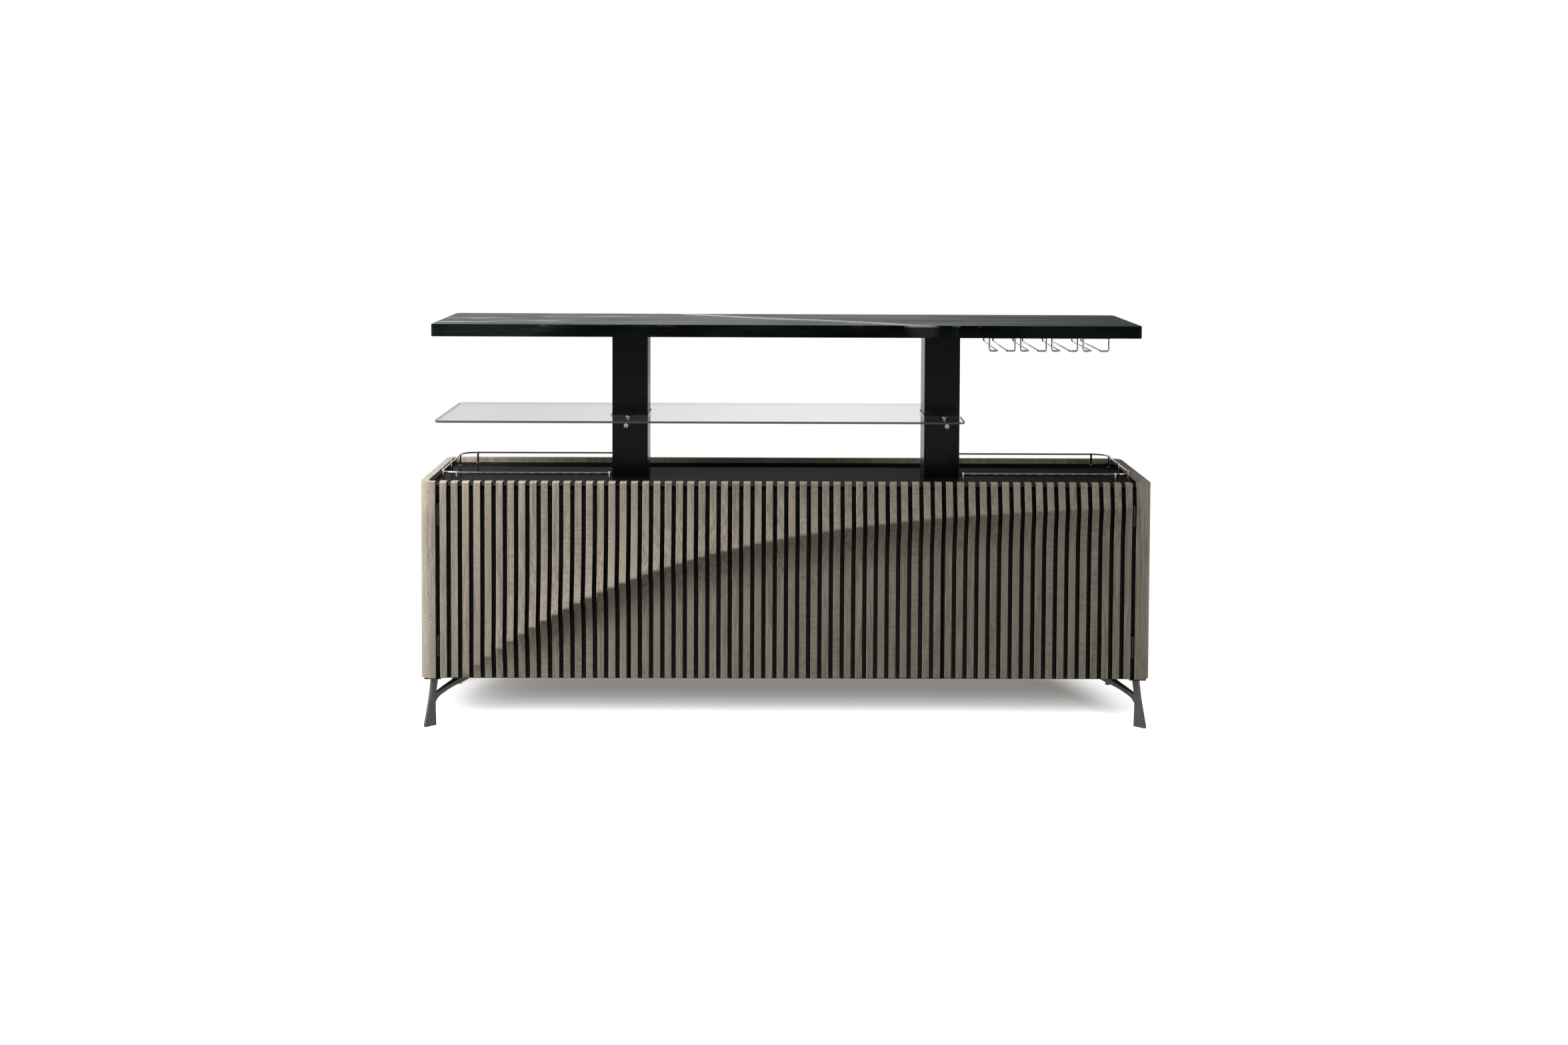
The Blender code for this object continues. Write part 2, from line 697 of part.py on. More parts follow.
def make_gallery_rails():
    front = Y_FRONT + RAIL_FRONT_SETBACK
    back = Y_FRONT + RAIL_BACK_SETBACK
    outer = HALF_WIDTH - RAIL_SIDE_INSET
    bend_x = outer - RAIL_BEND
    rail_z = DECK_TOP + RAIL_HEIGHT
    plan = (
        [(RAIL_END, front)]
        + arc((bend_x, front + RAIL_BEND), RAIL_BEND, 270, 360, 8)
        + arc((bend_x, back - RAIL_BEND), RAIL_BEND, 0, 90, 8)
        + [(RAIL_END, back)]
    )
    after_bend = RAIL_BEND + RAIL_POST_PAST_BEND
    posts = [
        (RAIL_END + POST_RADIUS, front),
        (bend_x, front),
        (outer, front + after_bend),
        (outer, (front + back) / 2),
        (outer, back - after_bend),
        (bend_x, back),
        (RAIL_END + POST_RADIUS, back),
    ]
    for side, word in ((-1, "left"), (1, "right")):
        rod = tube([(side * x, y, rail_z) for x, y in plan], RAIL_RADIUS)
        pieces = []
        for x, y in posts:
            spot = (side * x, y)
            foot_top = DECK_TOP + POST_FOOT_HEIGHT
            pieces.append(cylinder(spot, POST_RADIUS, DECK_TOP + FIT * 2, rail_z + 0.0005, sides=8))
            pieces.append(cylinder(spot, POST_FOOT_RADIUS, DECK_TOP + FIT, foot_top, sides=12))
        add(f"{word}_gallery_rail", join(rod, *pieces), CHROME)


def wire_path(side, middle):
    """One wire of a holder: down from the counter, in towards its pair, back, and up again."""
    riser = side * RISER_SPACING / 2
    track = side * WIRE_SPACING / 2
    front = COUNTER_FRONT + WIRE_SETBACK
    back = front + WIRE_LENGTH
    rail_z = COUNTER_LOW - WIRE_DROP
    strap_z = COUNTER_LOW - FIT - STRAP_THICKNESS / 2
    inward = -side
    path = [(riser, front, strap_z)]
    for turn in (0, 30, 60, 90):
        angle = math.radians(turn)
        x = riser + inward * WIRE_BEND * (1 - math.cos(angle))
        path.append((x, front, rail_z + WIRE_BEND * (1 - math.sin(angle))))
    for turn in (0, 30, 60, 90):
        angle = math.radians(turn)
        x = track - inward * WIRE_TURN * (1 - math.sin(angle))
        path.append((x, front + WIRE_TURN * (1 - math.cos(angle)), rail_z))
    for turn in (0, 30, 60, 90):
        angle = math.radians(turn)
        y = back - WIRE_BEND * (1 - math.sin(angle))
        path.append((track, y, rail_z + WIRE_BEND * (1 - math.cos(angle))))
    path.append((track, back, strap_z))
    return [(middle + x, y, z) for x, y, z in path]


def make_stemware_rack():
    front = COUNTER_FRONT + WIRE_SETBACK
    back = front + WIRE_LENGTH
    strap_z = (COUNTER_LOW - FIT - STRAP_THICKNESS, COUNTER_LOW - FIT)
    last_middle = COUNTER_WIDTH / 2 - HOLDER_END_INSET
    for number in range(HOLDER_COUNT):
        middle = last_middle - (HOLDER_COUNT - 1 - number) * HOLDER_PITCH
        pieces = [tube(wire_path(1, middle), WIRE_RADIUS)]
        for y, spacing in ((front, RISER_SPACING), (back, WIRE_SPACING)):
            half = spacing / 2 + WIRE_RADIUS + STRAP_THICKNESS
            pieces.append(
                block(
                    (middle - half, middle + half),
                    (y - STRAP_WIDTH / 2, y + STRAP_WIDTH / 2),
                    strap_z,
                )
            )
        wire = tube(wire_path(-1, middle), WIRE_RADIUS)
        add(f"stemware_holder_{number + 1}", join(wire, *pieces), CHROME)


def hinge_leaf(side, middle_z, on_door):
    """One leaf of a butt hinge in the gap between a post and the first slat."""
    axis_x = side * HINGE_X
    outward = side if not on_door else -side
    leaf_face = SLAT_GAP / 2 - FIT
    leaf_x = tuple(sorted((axis_x + outward * leaf_face, axis_x + outward * (leaf_face - LEAF))))
    low = middle_z - HINGE_LENGTH / 2
    knuckle = HINGE_LENGTH / 3
    plate = block(leaf_x, (HINGE_Y - LEAF, Y_FRONT + SHELL_WALL - FIT), (low, low + HINGE_LENGTH))
    pieces = []
    for number in ((0, 2) if on_door else (1,)):
        z_range = (low + number * knuckle + KNUCKLE_GAP / 2, low + (number + 1) * knuckle - KNUCKLE_GAP / 2)
        pieces.append(cylinder((axis_x, HINGE_Y), KNUCKLE_RADIUS, *z_range))
        tab_x = tuple(sorted((axis_x, axis_x + outward * (leaf_face - LEAF / 2))))
        tab_y = (HINGE_Y + PIN_RADIUS / 4, HINGE_Y + KNUCKLE_RADIUS - PIN_RADIUS / 4)
        pieces.append(block(tab_x, tab_y, z_range))
    leaf = join(plate, *pieces)
    pin_z = (low + KNUCKLE_GAP, low + HINGE_LENGTH - KNUCKLE_GAP)
    if on_door:
        bore = cylinder(
            (axis_x, HINGE_Y), PIN_RADIUS + PIN_PLAY, low - knuckle, low + HINGE_LENGTH + knuckle
        )
        return cut(leaf, bore)
    return join(leaf, cylinder((axis_x, HINGE_Y), PIN_RADIUS, *pin_z, sides=ROUND_SIDES))


def make_doors():
    for side, word in ((-1, "left"), (1, "right")):
        first = 0 if side < 0 else SLAT_COUNT - DOOR_SLATS
        add(f"{word}_door_slats", slat_front(first, first + DOOR_SLATS - 1), WOOD)
        panel = block(
            side_range(side, SPLIT_X + DOOR_GAP / 2, HINGE_X + PANEL_LAP),
            (PANEL_FRONT, PANEL_BACK),
            (FRONT_LOW, PANEL_TOP),
        )
        add(f"{word}_door_panel", panel, BLACK_BOARD)
        heights = (("lower", BODY_LOW + HINGE_FROM_END), ("upper", BODY_TOP - HINGE_FROM_END))
        for place, height in heights:
            add(f"{word}_{place}_hinge_post_leaf", hinge_leaf(side, height, False), BLACK_METAL)
            add(f"{word}_{place}_hinge_door_leaf", hinge_leaf(side, height, True), BLACK_METAL)


def channel(side, x_back, depth, height, level):
    """A runner member: a C in section whose open side faces away from x_back, towards depth."""
    metal = RUNNER_METAL
    outline = [
        (x_back, level - height / 2),
        (x_back + depth, level - height / 2),
        (x_back + depth, level - height / 2 + metal),
        (x_back + math.copysign(metal, depth), level - height / 2 + metal),
        (x_back + math.copysign(metal, depth), level + height / 2 - metal),
        (x_back + depth, level + height / 2 - metal),
        (x_back + depth, level + height / 2),
        (x_back, level + height / 2),
    ]
    y_range = (CARCASS_FRONT, CARCASS_FRONT + RUNNER_LENGTH)
    return prism(mirrored(outline, side), *y_range, axis="y")


def make_drawer():
    first = DOOR_SLATS
    add("drawer_slats", slat_front(first, SLAT_COUNT - DOOR_SLATS - 1), WOOD)
    half_front = SPLIT_X - DOOR_GAP / 2
    panel = block((-half_front, half_front), (PANEL_FRONT, PANEL_BACK), (FRONT_LOW, PANEL_TOP))
    add("drawer_front_panel", panel, BLACK_BOARD)

    box_half = DIVIDER_INNER - RUNNER_SPACE
    box_front = PANEL_BACK + FIT
    box_back = box_front + DRAWER_BOX_DEPTH
    bottom_low = FLOOR_TOP + DRAWER_LIFT
    sides_low = bottom_low + DRAWER_BOTTOM + FIT
    sides_top = sides_low + DRAWER_SIDE_HEIGHT
    bottom = block(
        (-box_half, box_half), (box_front, box_back), (bottom_low, bottom_low + DRAWER_BOTTOM)
    )
    add("drawer_bottom", bottom, INNER_WOOD)
    back = block(
        (DRAWER_SIDE + FIT - box_half, box_half - DRAWER_SIDE - FIT),
        (box_back - DRAWER_SIDE, box_back),
        (sides_low, sides_top),
    )
    add("drawer_back", back, INNER_WOOD)

    level = bottom_low + RUNNER_LEVEL
    for side, word in ((-1, "left"), (1, "right")):
        wall = block(
            side_range(side, box_half - DRAWER_SIDE, box_half),
            (box_front, box_back),
            (sides_low, sides_top),
        )
        add(f"{word}_drawer_side", wall, INNER_WOOD)
        step = RUNNER_METAL + RUNNER_PLAY
        outer_back = DIVIDER_INNER - FIT
        inner_back = box_half + FIT
        flange_end = inner_back + step
        outer = channel(side, outer_back, flange_end - outer_back, RUNNER_HEIGHT, level)
        add(f"{word}_runner_outer", outer, STEEL)
        middle_height = RUNNER_HEIGHT - 2 * step
        middle_back = outer_back - step
        middle = channel(side, middle_back, flange_end - middle_back, middle_height, level)
        add(f"{word}_runner_middle", middle, STEEL)
        inner = channel(
            side, inner_back, middle_back - step - inner_back, middle_height - 2 * step, level
        )
        add(f"{word}_runner_inner", inner, STEEL)


for old in list(bpy.data.objects):
    bpy.data.objects.remove(old)

WOOD = material("ash_greige", (0.33, 0.29, 0.23), 0.55)
INNER_WOOD = material("ash_inner", (0.30, 0.27, 0.22), 0.6)
BLACK_BOARD = material("black_board", (0.012, 0.012, 0.012), 0.5)
BLACK_GLASS = material("black_glass", (0.012, 0.012, 0.012), 0.08)
BLACK_METAL = material("black_metal", (0.012, 0.013, 0.013), 0.45, metallic=0.2)
BLACK_PLASTIC = material("black_plastic", (0.02, 0.02, 0.02), 0.5)
CAST_METAL = material("cast_anthracite", (0.065, 0.065, 0.057), 0.45, metallic=0.7)
DARK_STONE = material("dark_stone", (0.03, 0.04, 0.038), 0.3)
CLEAR_GLASS = material("clear_glass", (0.95, 0.97, 0.96), 0.02, alpha=0.3, transmission=0.9)
CHROME = material("chrome", (0.75, 0.75, 0.75), 0.12, metallic=1.0)
STEEL = material("zinc_steel", (0.55, 0.55, 0.56), 0.35, metallic=1.0)

make_body()
make_legs()
make_columns()
make_glass_shelf()
make_counter()
make_gallery_rails()
make_stemware_rack()
make_doors()
make_drawer()
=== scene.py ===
"""Bar sideboard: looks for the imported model, matched to the photograph. Metres, +Z up, front towards -Y."""

import json
import math

import bmesh
import bpy
from mathutils import Matrix, Vector

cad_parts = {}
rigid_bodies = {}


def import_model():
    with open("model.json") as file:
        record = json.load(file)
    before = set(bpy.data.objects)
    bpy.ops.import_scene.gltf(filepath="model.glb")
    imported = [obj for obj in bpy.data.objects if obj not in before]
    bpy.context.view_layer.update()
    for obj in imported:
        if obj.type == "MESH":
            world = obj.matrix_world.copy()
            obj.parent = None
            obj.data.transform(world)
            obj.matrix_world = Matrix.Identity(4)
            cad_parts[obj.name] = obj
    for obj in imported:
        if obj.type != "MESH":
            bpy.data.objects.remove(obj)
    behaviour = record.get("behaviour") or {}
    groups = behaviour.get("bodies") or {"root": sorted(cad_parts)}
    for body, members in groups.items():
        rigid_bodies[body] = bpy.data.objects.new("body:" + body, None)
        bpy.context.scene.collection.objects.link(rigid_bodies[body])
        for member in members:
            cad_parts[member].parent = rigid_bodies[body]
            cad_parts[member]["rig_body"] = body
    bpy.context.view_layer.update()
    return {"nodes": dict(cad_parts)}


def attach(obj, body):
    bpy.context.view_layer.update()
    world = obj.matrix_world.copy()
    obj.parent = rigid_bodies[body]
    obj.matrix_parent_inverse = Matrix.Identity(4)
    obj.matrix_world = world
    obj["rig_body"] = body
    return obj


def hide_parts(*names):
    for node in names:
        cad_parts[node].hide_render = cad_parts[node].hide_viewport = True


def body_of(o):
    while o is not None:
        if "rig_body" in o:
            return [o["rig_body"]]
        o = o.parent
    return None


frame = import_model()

# Camera at the photograph's place and turn: a little left of the middle, 1.49 m up, looking down by
# 2.9 degrees. The shift keeps the uprights as near to parallel as the photograph shows them.
camera = bpy.data.objects.new("camera", bpy.data.cameras.new("camera"))
bpy.context.scene.collection.objects.link(camera)
camera_place, lens, sensor, shift_up = (-0.0575, -5.8411, 1.4891), 47.43, 36, -0.15
yaw, pitch, roll = 0.00865, -0.04994, 0.00414
ahead = Vector((math.sin(yaw) * math.cos(pitch), math.cos(yaw) * math.cos(pitch), math.sin(pitch)))
level_right = Vector((math.cos(yaw), -math.sin(yaw), 0))
level_up = level_right.cross(ahead)
right = level_right * math.cos(roll) + level_up * math.sin(roll)
up = level_up * math.cos(roll) - level_right * math.sin(roll)
turn = Matrix((right, up, -ahead)).transposed().to_4x4()
camera.matrix_world = Matrix.Translation(camera_place) @ turn
camera.data.lens = lens
camera.data.sensor_width = sensor
camera.data.shift_y = shift_up
bpy.context.scene.camera = camera
bpy.context.scene.view_settings.view_transform = "Standard"


# World: soft, slightly warm studio light from all round. The camera sees plain white, and metal and glass
# see a white backdrop behind the piece and above it, which dims to the right, and a dark room in front.
def add_node(tree, kind, values=None, **settings):
    """A shader node. A value that is another node's output becomes a link."""
    made = tree.nodes.new(kind)
    for key, setting in settings.items():
        setattr(made, key, setting)
    for socket, value in (values or {}).items():
        if isinstance(value, bpy.types.NodeSocket):
            tree.links.new(value, made.inputs[socket])
        else:
            made.inputs[socket].default_value = value
    return made


def maths(tree, operation, *values):
    return add_node(tree, "ShaderNodeMath", dict(enumerate(values)), operation=operation).outputs[0]


def vectors(tree, operation, *values):
    return add_node(tree, "ShaderNodeVectorMath", dict(enumerate(values)), operation=operation).outputs[0]


def soft_range(tree, value, low, high, start=0.0, end=1.0):
    values = {0: value, 1: low, 2: high, 3: start, 4: end}
    return add_node(tree, "ShaderNodeMapRange", values, interpolation_type="SMOOTHSTEP").outputs[0]


ambient_strength, room_strength, ceiling_strength, right_strength = 0.085, 0.03, 0.55, 0.24
warm_white, white = (1, 0.92, 0.74, 1), (1, 1, 1, 1)
world = bpy.data.worlds.new("studio")
bpy.context.scene.world = world
world.use_nodes = True
sky = world.node_tree
sky.nodes.clear()
place = add_node(sky, "ShaderNodeTexCoord")
split = add_node(sky, "ShaderNodeSeparateXYZ", {0: place.outputs["Generated"]})
behind = soft_range(sky, split.outputs["Y"], -0.10, 0.50, room_strength, 1.0)
above = soft_range(sky, split.outputs["Z"], 0.45, 0.95, 0.0, ceiling_strength)
rightward = soft_range(sky, split.outputs["X"], 0.02, 0.20, 1.0, right_strength)
rays = add_node(sky, "ShaderNodeLightPath")
mirrored_rays = maths(sky, "MAXIMUM", rays.outputs["Is Glossy Ray"], rays.outputs["Is Transmission Ray"])
backdrop = maths(sky, "MAXIMUM", maths(sky, "MULTIPLY", behind, rightward), above)
ambient = maths(sky, "MULTIPLY", maths(sky, "SUBTRACT", 1.0, mirrored_rays), ambient_strength)
mirrored = maths(sky, "ADD", maths(sky, "MULTIPLY", mirrored_rays, backdrop), ambient)
strength = maths(sky, "MAXIMUM", mirrored, rays.outputs["Is Camera Ray"])
neutral = maths(sky, "MAXIMUM", mirrored_rays, rays.outputs["Is Camera Ray"])
hue = add_node(sky, "ShaderNodeMix", {0: neutral, 6: warm_white, 7: white}, data_type="RGBA").outputs[2]
lit = add_node(sky, "ShaderNodeBackground", {"Color": hue, "Strength": strength})
add_node(sky, "ShaderNodeOutputWorld", {"Surface": lit.outputs[0]})

# Lamps: a large key high on the left in front leaves the right end, and what lies below the carved ridge,
# darker, and a small fill low on the right lifts that end. The floor has a wide lamp of its own in front,
# whose light reaches in under the cabinet.
lit_by_key = bpy.data.collections.new("lit_by_key")
lit_by_front = bpy.data.collections.new("lit_by_front")
for name, place, aim, size, spread, power, receivers in (
    ("key", (-2.13, -0.91, 2.1), (-1.3, -0.3, 1.0), (1.7, 1.7), 95, 39, lit_by_key),
    ("fill", (2.3, -1.1, 0.9), (0.95, -0.2, 0.45), (0.8, 0.8), 180, 12, lit_by_key),
    ("front", (-0.6, -3.1, 2.1), (0.0, 0.0, 1.6), (7.0, 3.6), 180, 340, lit_by_front),
):
    lamp = bpy.data.lights.new(name, "AREA")
    lamp.shape = "RECTANGLE"
    lamp.size, lamp.size_y = size
    lamp.spread = math.radians(spread)
    lamp.energy = power
    holder = bpy.data.objects.new(name, lamp)
    bpy.context.scene.collection.objects.link(holder)
    holder.location = place
    holder.rotation_euler = (Vector(aim) - Vector(place)).to_track_quat("-Z", "Y").to_euler()
    holder.light_linking.receiver_collection = receivers

# Floor: plain white paper with the soft shadow of the cabinet on it. Further out, and sooner towards the
# back, it turns into the white backdrop. Metal and glass mirror it nearly white, and it throws next to no
# light up on the cabinet.
seen_tone, mirrored_tone, other_tone = 2.6, 0.9, 0.02
shadow_centre, shadow_reach, slant_start, slant_share = -0.03, (0.93, 0.27, 0), -0.22, 0.28
shadow_fades, floor_radius = (0.02, 0.22), 9
bm = bmesh.new()
bmesh.ops.create_circle(bm, cap_ends=True, segments=96, radius=floor_radius)
floor = bpy.data.objects.new("floor", bpy.data.meshes.new("floor"))
bm.to_mesh(floor.data)
bm.free()
bpy.context.scene.collection.objects.link(floor)
lit_by_front.objects.link(floor)
paper = bpy.data.materials.new("floor_paper")
paper.use_nodes = True
tree = paper.node_tree
tree.nodes.clear()
place = add_node(tree, "ShaderNodeTexCoord").outputs["Object"]
from_centre = vectors(tree, "SUBTRACT", place, (shadow_centre, 0, 0))
off_centre = add_node(tree, "ShaderNodeSeparateXYZ", {0: from_centre})
further_back = maths(tree, "MAXIMUM", maths(tree, "SUBTRACT", off_centre.outputs["Y"], slant_start), 0.0)
slant = maths(tree, "MULTIPLY", further_back, slant_share)
sideways = maths(tree, "ADD", maths(tree, "ABSOLUTE", off_centre.outputs["X"]), slant)
depthways = maths(tree, "ABSOLUTE", off_centre.outputs["Y"])
reached = add_node(tree, "ShaderNodeCombineXYZ", {0: sideways, 1: depthways})
outward = vectors(tree, "MAXIMUM", vectors(tree, "SUBTRACT", reached.outputs[0], shadow_reach), (0, 0, 0))
distance = add_node(tree, "ShaderNodeVectorMath", {0: outward}, operation="LENGTH").outputs["Value"]
rays = add_node(tree, "ShaderNodeLightPath")
tones = {0: rays.outputs["Is Camera Ray"], 3: other_tone, 4: seen_tone}
tone = add_node(tree, "ShaderNodeMapRange", tones).outputs[0]
mirrored_rays = maths(tree, "MAXIMUM", rays.outputs["Is Glossy Ray"], rays.outputs["Is Transmission Ray"])
tone = maths(tree, "MAXIMUM", tone, maths(tree, "MULTIPLY", mirrored_rays, mirrored_tone))
matt = add_node(tree, "ShaderNodeBsdfDiffuse", {"Color": tone})
glow = add_node(tree, "ShaderNodeEmission", {"Color": white, "Strength": 1.0})
seen = maths(tree, "MAXIMUM", rays.outputs["Is Camera Ray"], mirrored_rays)
share = maths(tree, "MULTIPLY", soft_range(tree, distance, *shadow_fades), seen)
blend = add_node(tree, "ShaderNodeMixShader", {0: share, 1: matt.outputs[0], 2: glow.outputs[0]})
add_node(tree, "ShaderNodeOutputMaterial", {"Surface": blend.outputs[0]})
floor.data.materials.append(paper)

# End shells and back panel: boards veneered in ash, stained to a grey greige, bent round the corners. The
# grain runs upright. On some boards straight growth bands give way to stacked arches, or to a cross ripple.
wander_reach, arch_spacing, arch_steepness, arch_tip, apex_spread = 0.036, 0.0088, 2.3, 0.000006, 0.014
unevenness, ring_fade, ripple_share, widest_slat = 0.060, 2.2, 0.45, 0.05
figure_share, streak_share, cloud_share, pore_share = 0.60, 0.66, 0.7, 0.6
streak_relief, relief_strength, grain_depth, ash_sheen = 0.6, 0.8, 0.00025, 0.12
corner_angle, flat_angle = 32, 0.4
grain = bpy.data.node_groups.new("ash_grain", "ShaderNodeTree")
grain.interface.new_socket("Vector", in_out="INPUT", socket_type="NodeSocketVector")
for name in ("Board", "Across"):
    grain.interface.new_socket(name, in_out="INPUT", socket_type="NodeSocketFloat")
for name in ("Figure", "Streaks", "Pores", "Tint"):
    grain.interface.new_socket(name, in_out="OUTPUT", socket_type="NodeSocketFloat")


def stretched_noise(tree, vector, stretch, detail=2.0, roughness=0.5):
    values = {"Vector": vectors(tree, "MULTIPLY", vector, stretch), "Scale": 1.0, "Detail": detail}
    return add_node(tree, "ShaderNodeTexNoise", {**values, "Roughness": roughness})


given = add_node(grain, "NodeGroupInput")
own = add_node(grain, "ShaderNodeTexWhiteNoise", {"W": given.outputs["Board"]}, noise_dimensions="1D")
picks = add_node(grain, "ShaderNodeSeparateColor", {0: own.outputs["Color"]})
shift = vectors(grain, "MULTIPLY", own.outputs["Color"], (5, 5, 9))
moved = vectors(grain, "ADD", given.outputs["Vector"], shift)
wander = stretched_noise(grain, moved, (9, 9, 3)).outputs["Color"]
wander = vectors(grain, "MULTIPLY", wander, (wander_reach, wander_reach, 0))
wandered = vectors(grain, "ADD", moved, wander)
growth = stretched_noise(grain, wandered, (190, 190, 2.6), 3.0, 0.6).outputs["Fac"]
bands = soft_range(grain, growth, 0.32, 0.68)
height = add_node(grain, "ShaderNodeSeparateXYZ", {0: moved}).outputs["Z"]
off_apex = maths(grain, "MULTIPLY", maths(grain, "SUBTRACT", picks.outputs[0], 0.5), apex_spread)
aside = maths(grain, "ADD", given.outputs["Across"], off_apex)
squared = maths(grain, "MULTIPLY", aside, aside)
arch = maths(grain, "SQRT", maths(grain, "ADD", squared, arch_tip))
arch = maths(grain, "MULTIPLY", arch, arch_steepness)
uneven = stretched_noise(grain, moved, (60, 60, 9)).outputs["Fac"]
uneven = maths(grain, "MULTIPLY", uneven, unevenness)
course = maths(grain, "ADD", maths(grain, "SUBTRACT", height, arch), uneven)
ring = maths(grain, "FRACT", maths(grain, "DIVIDE", course, arch_spacing))
arches = maths(grain, "SUBTRACT", 1.0, maths(grain, "POWER", ring, ring_fade))
places = stretched_noise(grain, moved, (1.5, 1.5, 3.4), 1.0).outputs["Fac"]
somewhere = soft_range(grain, places, 0.34, 0.50)
arched = maths(grain, "MULTIPLY", soft_range(grain, picks.outputs[1], 0.50, 0.58), somewhere)
plain = maths(grain, "MULTIPLY", maths(grain, "SUBTRACT", 1.0, arched), bands)
drawn = maths(grain, "ADD", plain, maths(grain, "MULTIPLY", arched, arches))
ripple = soft_range(grain, stretched_noise(grain, moved, (26, 26, 210)).outputs["Fac"], 0.35, 0.65)
rippled = maths(grain, "MULTIPLY", soft_range(grain, picks.outputs[2], 0.40, 0.15), ripple_share)
figured = {0: rippled, 2: drawn, 3: ripple}
figure = add_node(grain, "ShaderNodeMix", figured, data_type="FLOAT").outputs[0]
fine = stretched_noise(grain, wandered, (620, 620, 14), 4.0, 0.7).outputs["Fac"]
pits = stretched_noise(grain, moved, (1500, 1500, 60), 1.0).outputs["Fac"]
pores = soft_range(grain, pits, 0.58, 0.72)
drawings = {"Figure": figure, "Streaks": fine, "Pores": pores, "Tint": picks.outputs[0]}
add_node(grain, "NodeGroupOutput", drawings)


def mixed(tree, share, first, second):
    """A colour between two, each either (r, g, b) or a node's output."""
    ends = [end if isinstance(end, bpy.types.NodeSocket) else (*end, 1) for end in (first, second)]
    return add_node(tree, "ShaderNodeMix", {0: share, 6: ends[0], 7: ends[1]}, data_type="RGBA").outputs[2]


def ash(name, warm, cool, dark, pore, along="Z", board=0.12, start=0.0, roughness=0.5):
    """Stained ash in boards of this width, each tinted between warm and cool."""
    made = bpy.data.materials.new(name)
    made.use_nodes = True
    tree = made.node_tree
    tree.nodes.clear()
    place = add_node(tree, "ShaderNodeTexCoord").outputs["Object"]
    parts = add_node(tree, "ShaderNodeSeparateXYZ", {0: place})
    order = {"Z": "XYZ", "X": "YZX"}[along]
    turned = add_node(tree, "ShaderNodeCombineXYZ", {i: parts.outputs[axis] for i, axis in enumerate(order)})
    # Wide boards run on round the corners, and slats lie side by side.
    second = parts.outputs[order[1]] if board > widest_slat else 0.0
    girth = maths(tree, "ADD", parts.outputs[order[0]], second)
    count = maths(tree, "DIVIDE", maths(tree, "SUBTRACT", girth, start), board)
    across = maths(tree, "MULTIPLY", maths(tree, "SUBTRACT", maths(tree, "FRACT", count), 0.5), board)
    boards = {"Vector": turned.outputs[0], "Board": maths(tree, "FLOOR", count), "Across": across}
    figure = add_node(tree, "ShaderNodeGroup", boards, node_tree=grain)
    clouds = stretched_noise(tree, turned.outputs[0], (30, 30, 5)).outputs["Fac"]
    cloudy = maths(tree, "MULTIPLY", maths(tree, "SUBTRACT", clouds, 0.5), cloud_share)
    drawn = maths(tree, "MULTIPLY", figure.outputs["Figure"], figure_share)
    streaked = maths(tree, "ADD", drawn, maths(tree, "MULTIPLY", figure.outputs["Streaks"], streak_share))
    light = mixed(tree, figure.outputs["Tint"], cool, warm)
    tone = mixed(tree, maths(tree, "ADD", streaked, cloudy), dark, light)
    pitted = mixed(tree, maths(tree, "MULTIPLY", figure.outputs["Pores"], pore_share), tone, pore)
    raised = maths(tree, "MULTIPLY", figure.outputs["Streaks"], streak_relief)
    height = maths(tree, "SUBTRACT", raised, figure.outputs["Pores"])
    relief = {"Height": height, "Distance": grain_depth, "Strength": relief_strength}
    gloss = {0: figure.outputs["Streaks"], 3: roughness - 0.06, 4: roughness + 0.10}
    shader = add_node(tree, "ShaderNodeBsdfPrincipled", {
        "Base Color": pitted, "Roughness": add_node(tree, "ShaderNodeMapRange", gloss).outputs[0],
        "Normal": add_node(tree, "ShaderNodeBump", relief).outputs[0], "Specular IOR Level": ash_sheen,
    })
    add_node(tree, "ShaderNodeOutputMaterial", {"Surface": shader.outputs[0]})
    return made


def finish_mesh(bm, name, sharp=corner_angle):
    mesh = bpy.data.meshes.new(name)
    bm.to_mesh(mesh)
    bm.free()
    mesh.shade_smooth()
    mesh.set_sharp_from_angle(angle=math.radians(sharp))
    return mesh


def place_piece(name, mesh, body, finishes, slot, *nodes):
    piece = bpy.data.objects.new(name, mesh)
    bpy.context.scene.collection.objects.link(piece)
    lit_by_key.objects.link(piece)
    for finish in finishes:
        mesh.materials.append(finish)
    level = piece.modifiers.new("even_shading", "WEIGHTED_NORMAL")
    level.keep_sharp = True
    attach(piece, body)
    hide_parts(*nodes)


def eased(name, width, finishes, slot, segments=2):
    """The CAD node's own solid with rounded edges, in its place."""
    bm = bmesh.new()
    bm.from_mesh(frame["nodes"][name].data)
    bmesh.ops.remove_doubles(bm, verts=bm.verts, dist=1e-6)
    bmesh.ops.dissolve_limit(bm, angle_limit=math.radians(flat_angle), verts=bm.verts, edges=bm.edges)
    corners = [edge for edge in bm.edges if edge.calc_face_angle(0) > math.radians(corner_angle)]
    bmesh.ops.bevel(
        bm, geom=corners, offset=width, segments=segments, profile=0.5, affect="EDGES", clamp_overlap=True,
        material=-1,
    )
    if len(finishes) > 1:
        # The second finish is for the upright edges, apart from the back one.
        for face in bm.faces:
            face.material_index = abs(face.normal.z) < 0.5 and face.normal.y < 0.5
    body = body_of(frame["nodes"][name])[0]
    place_piece(f"{name}_eased", finish_mesh(bm, name), body, finishes, slot, name)


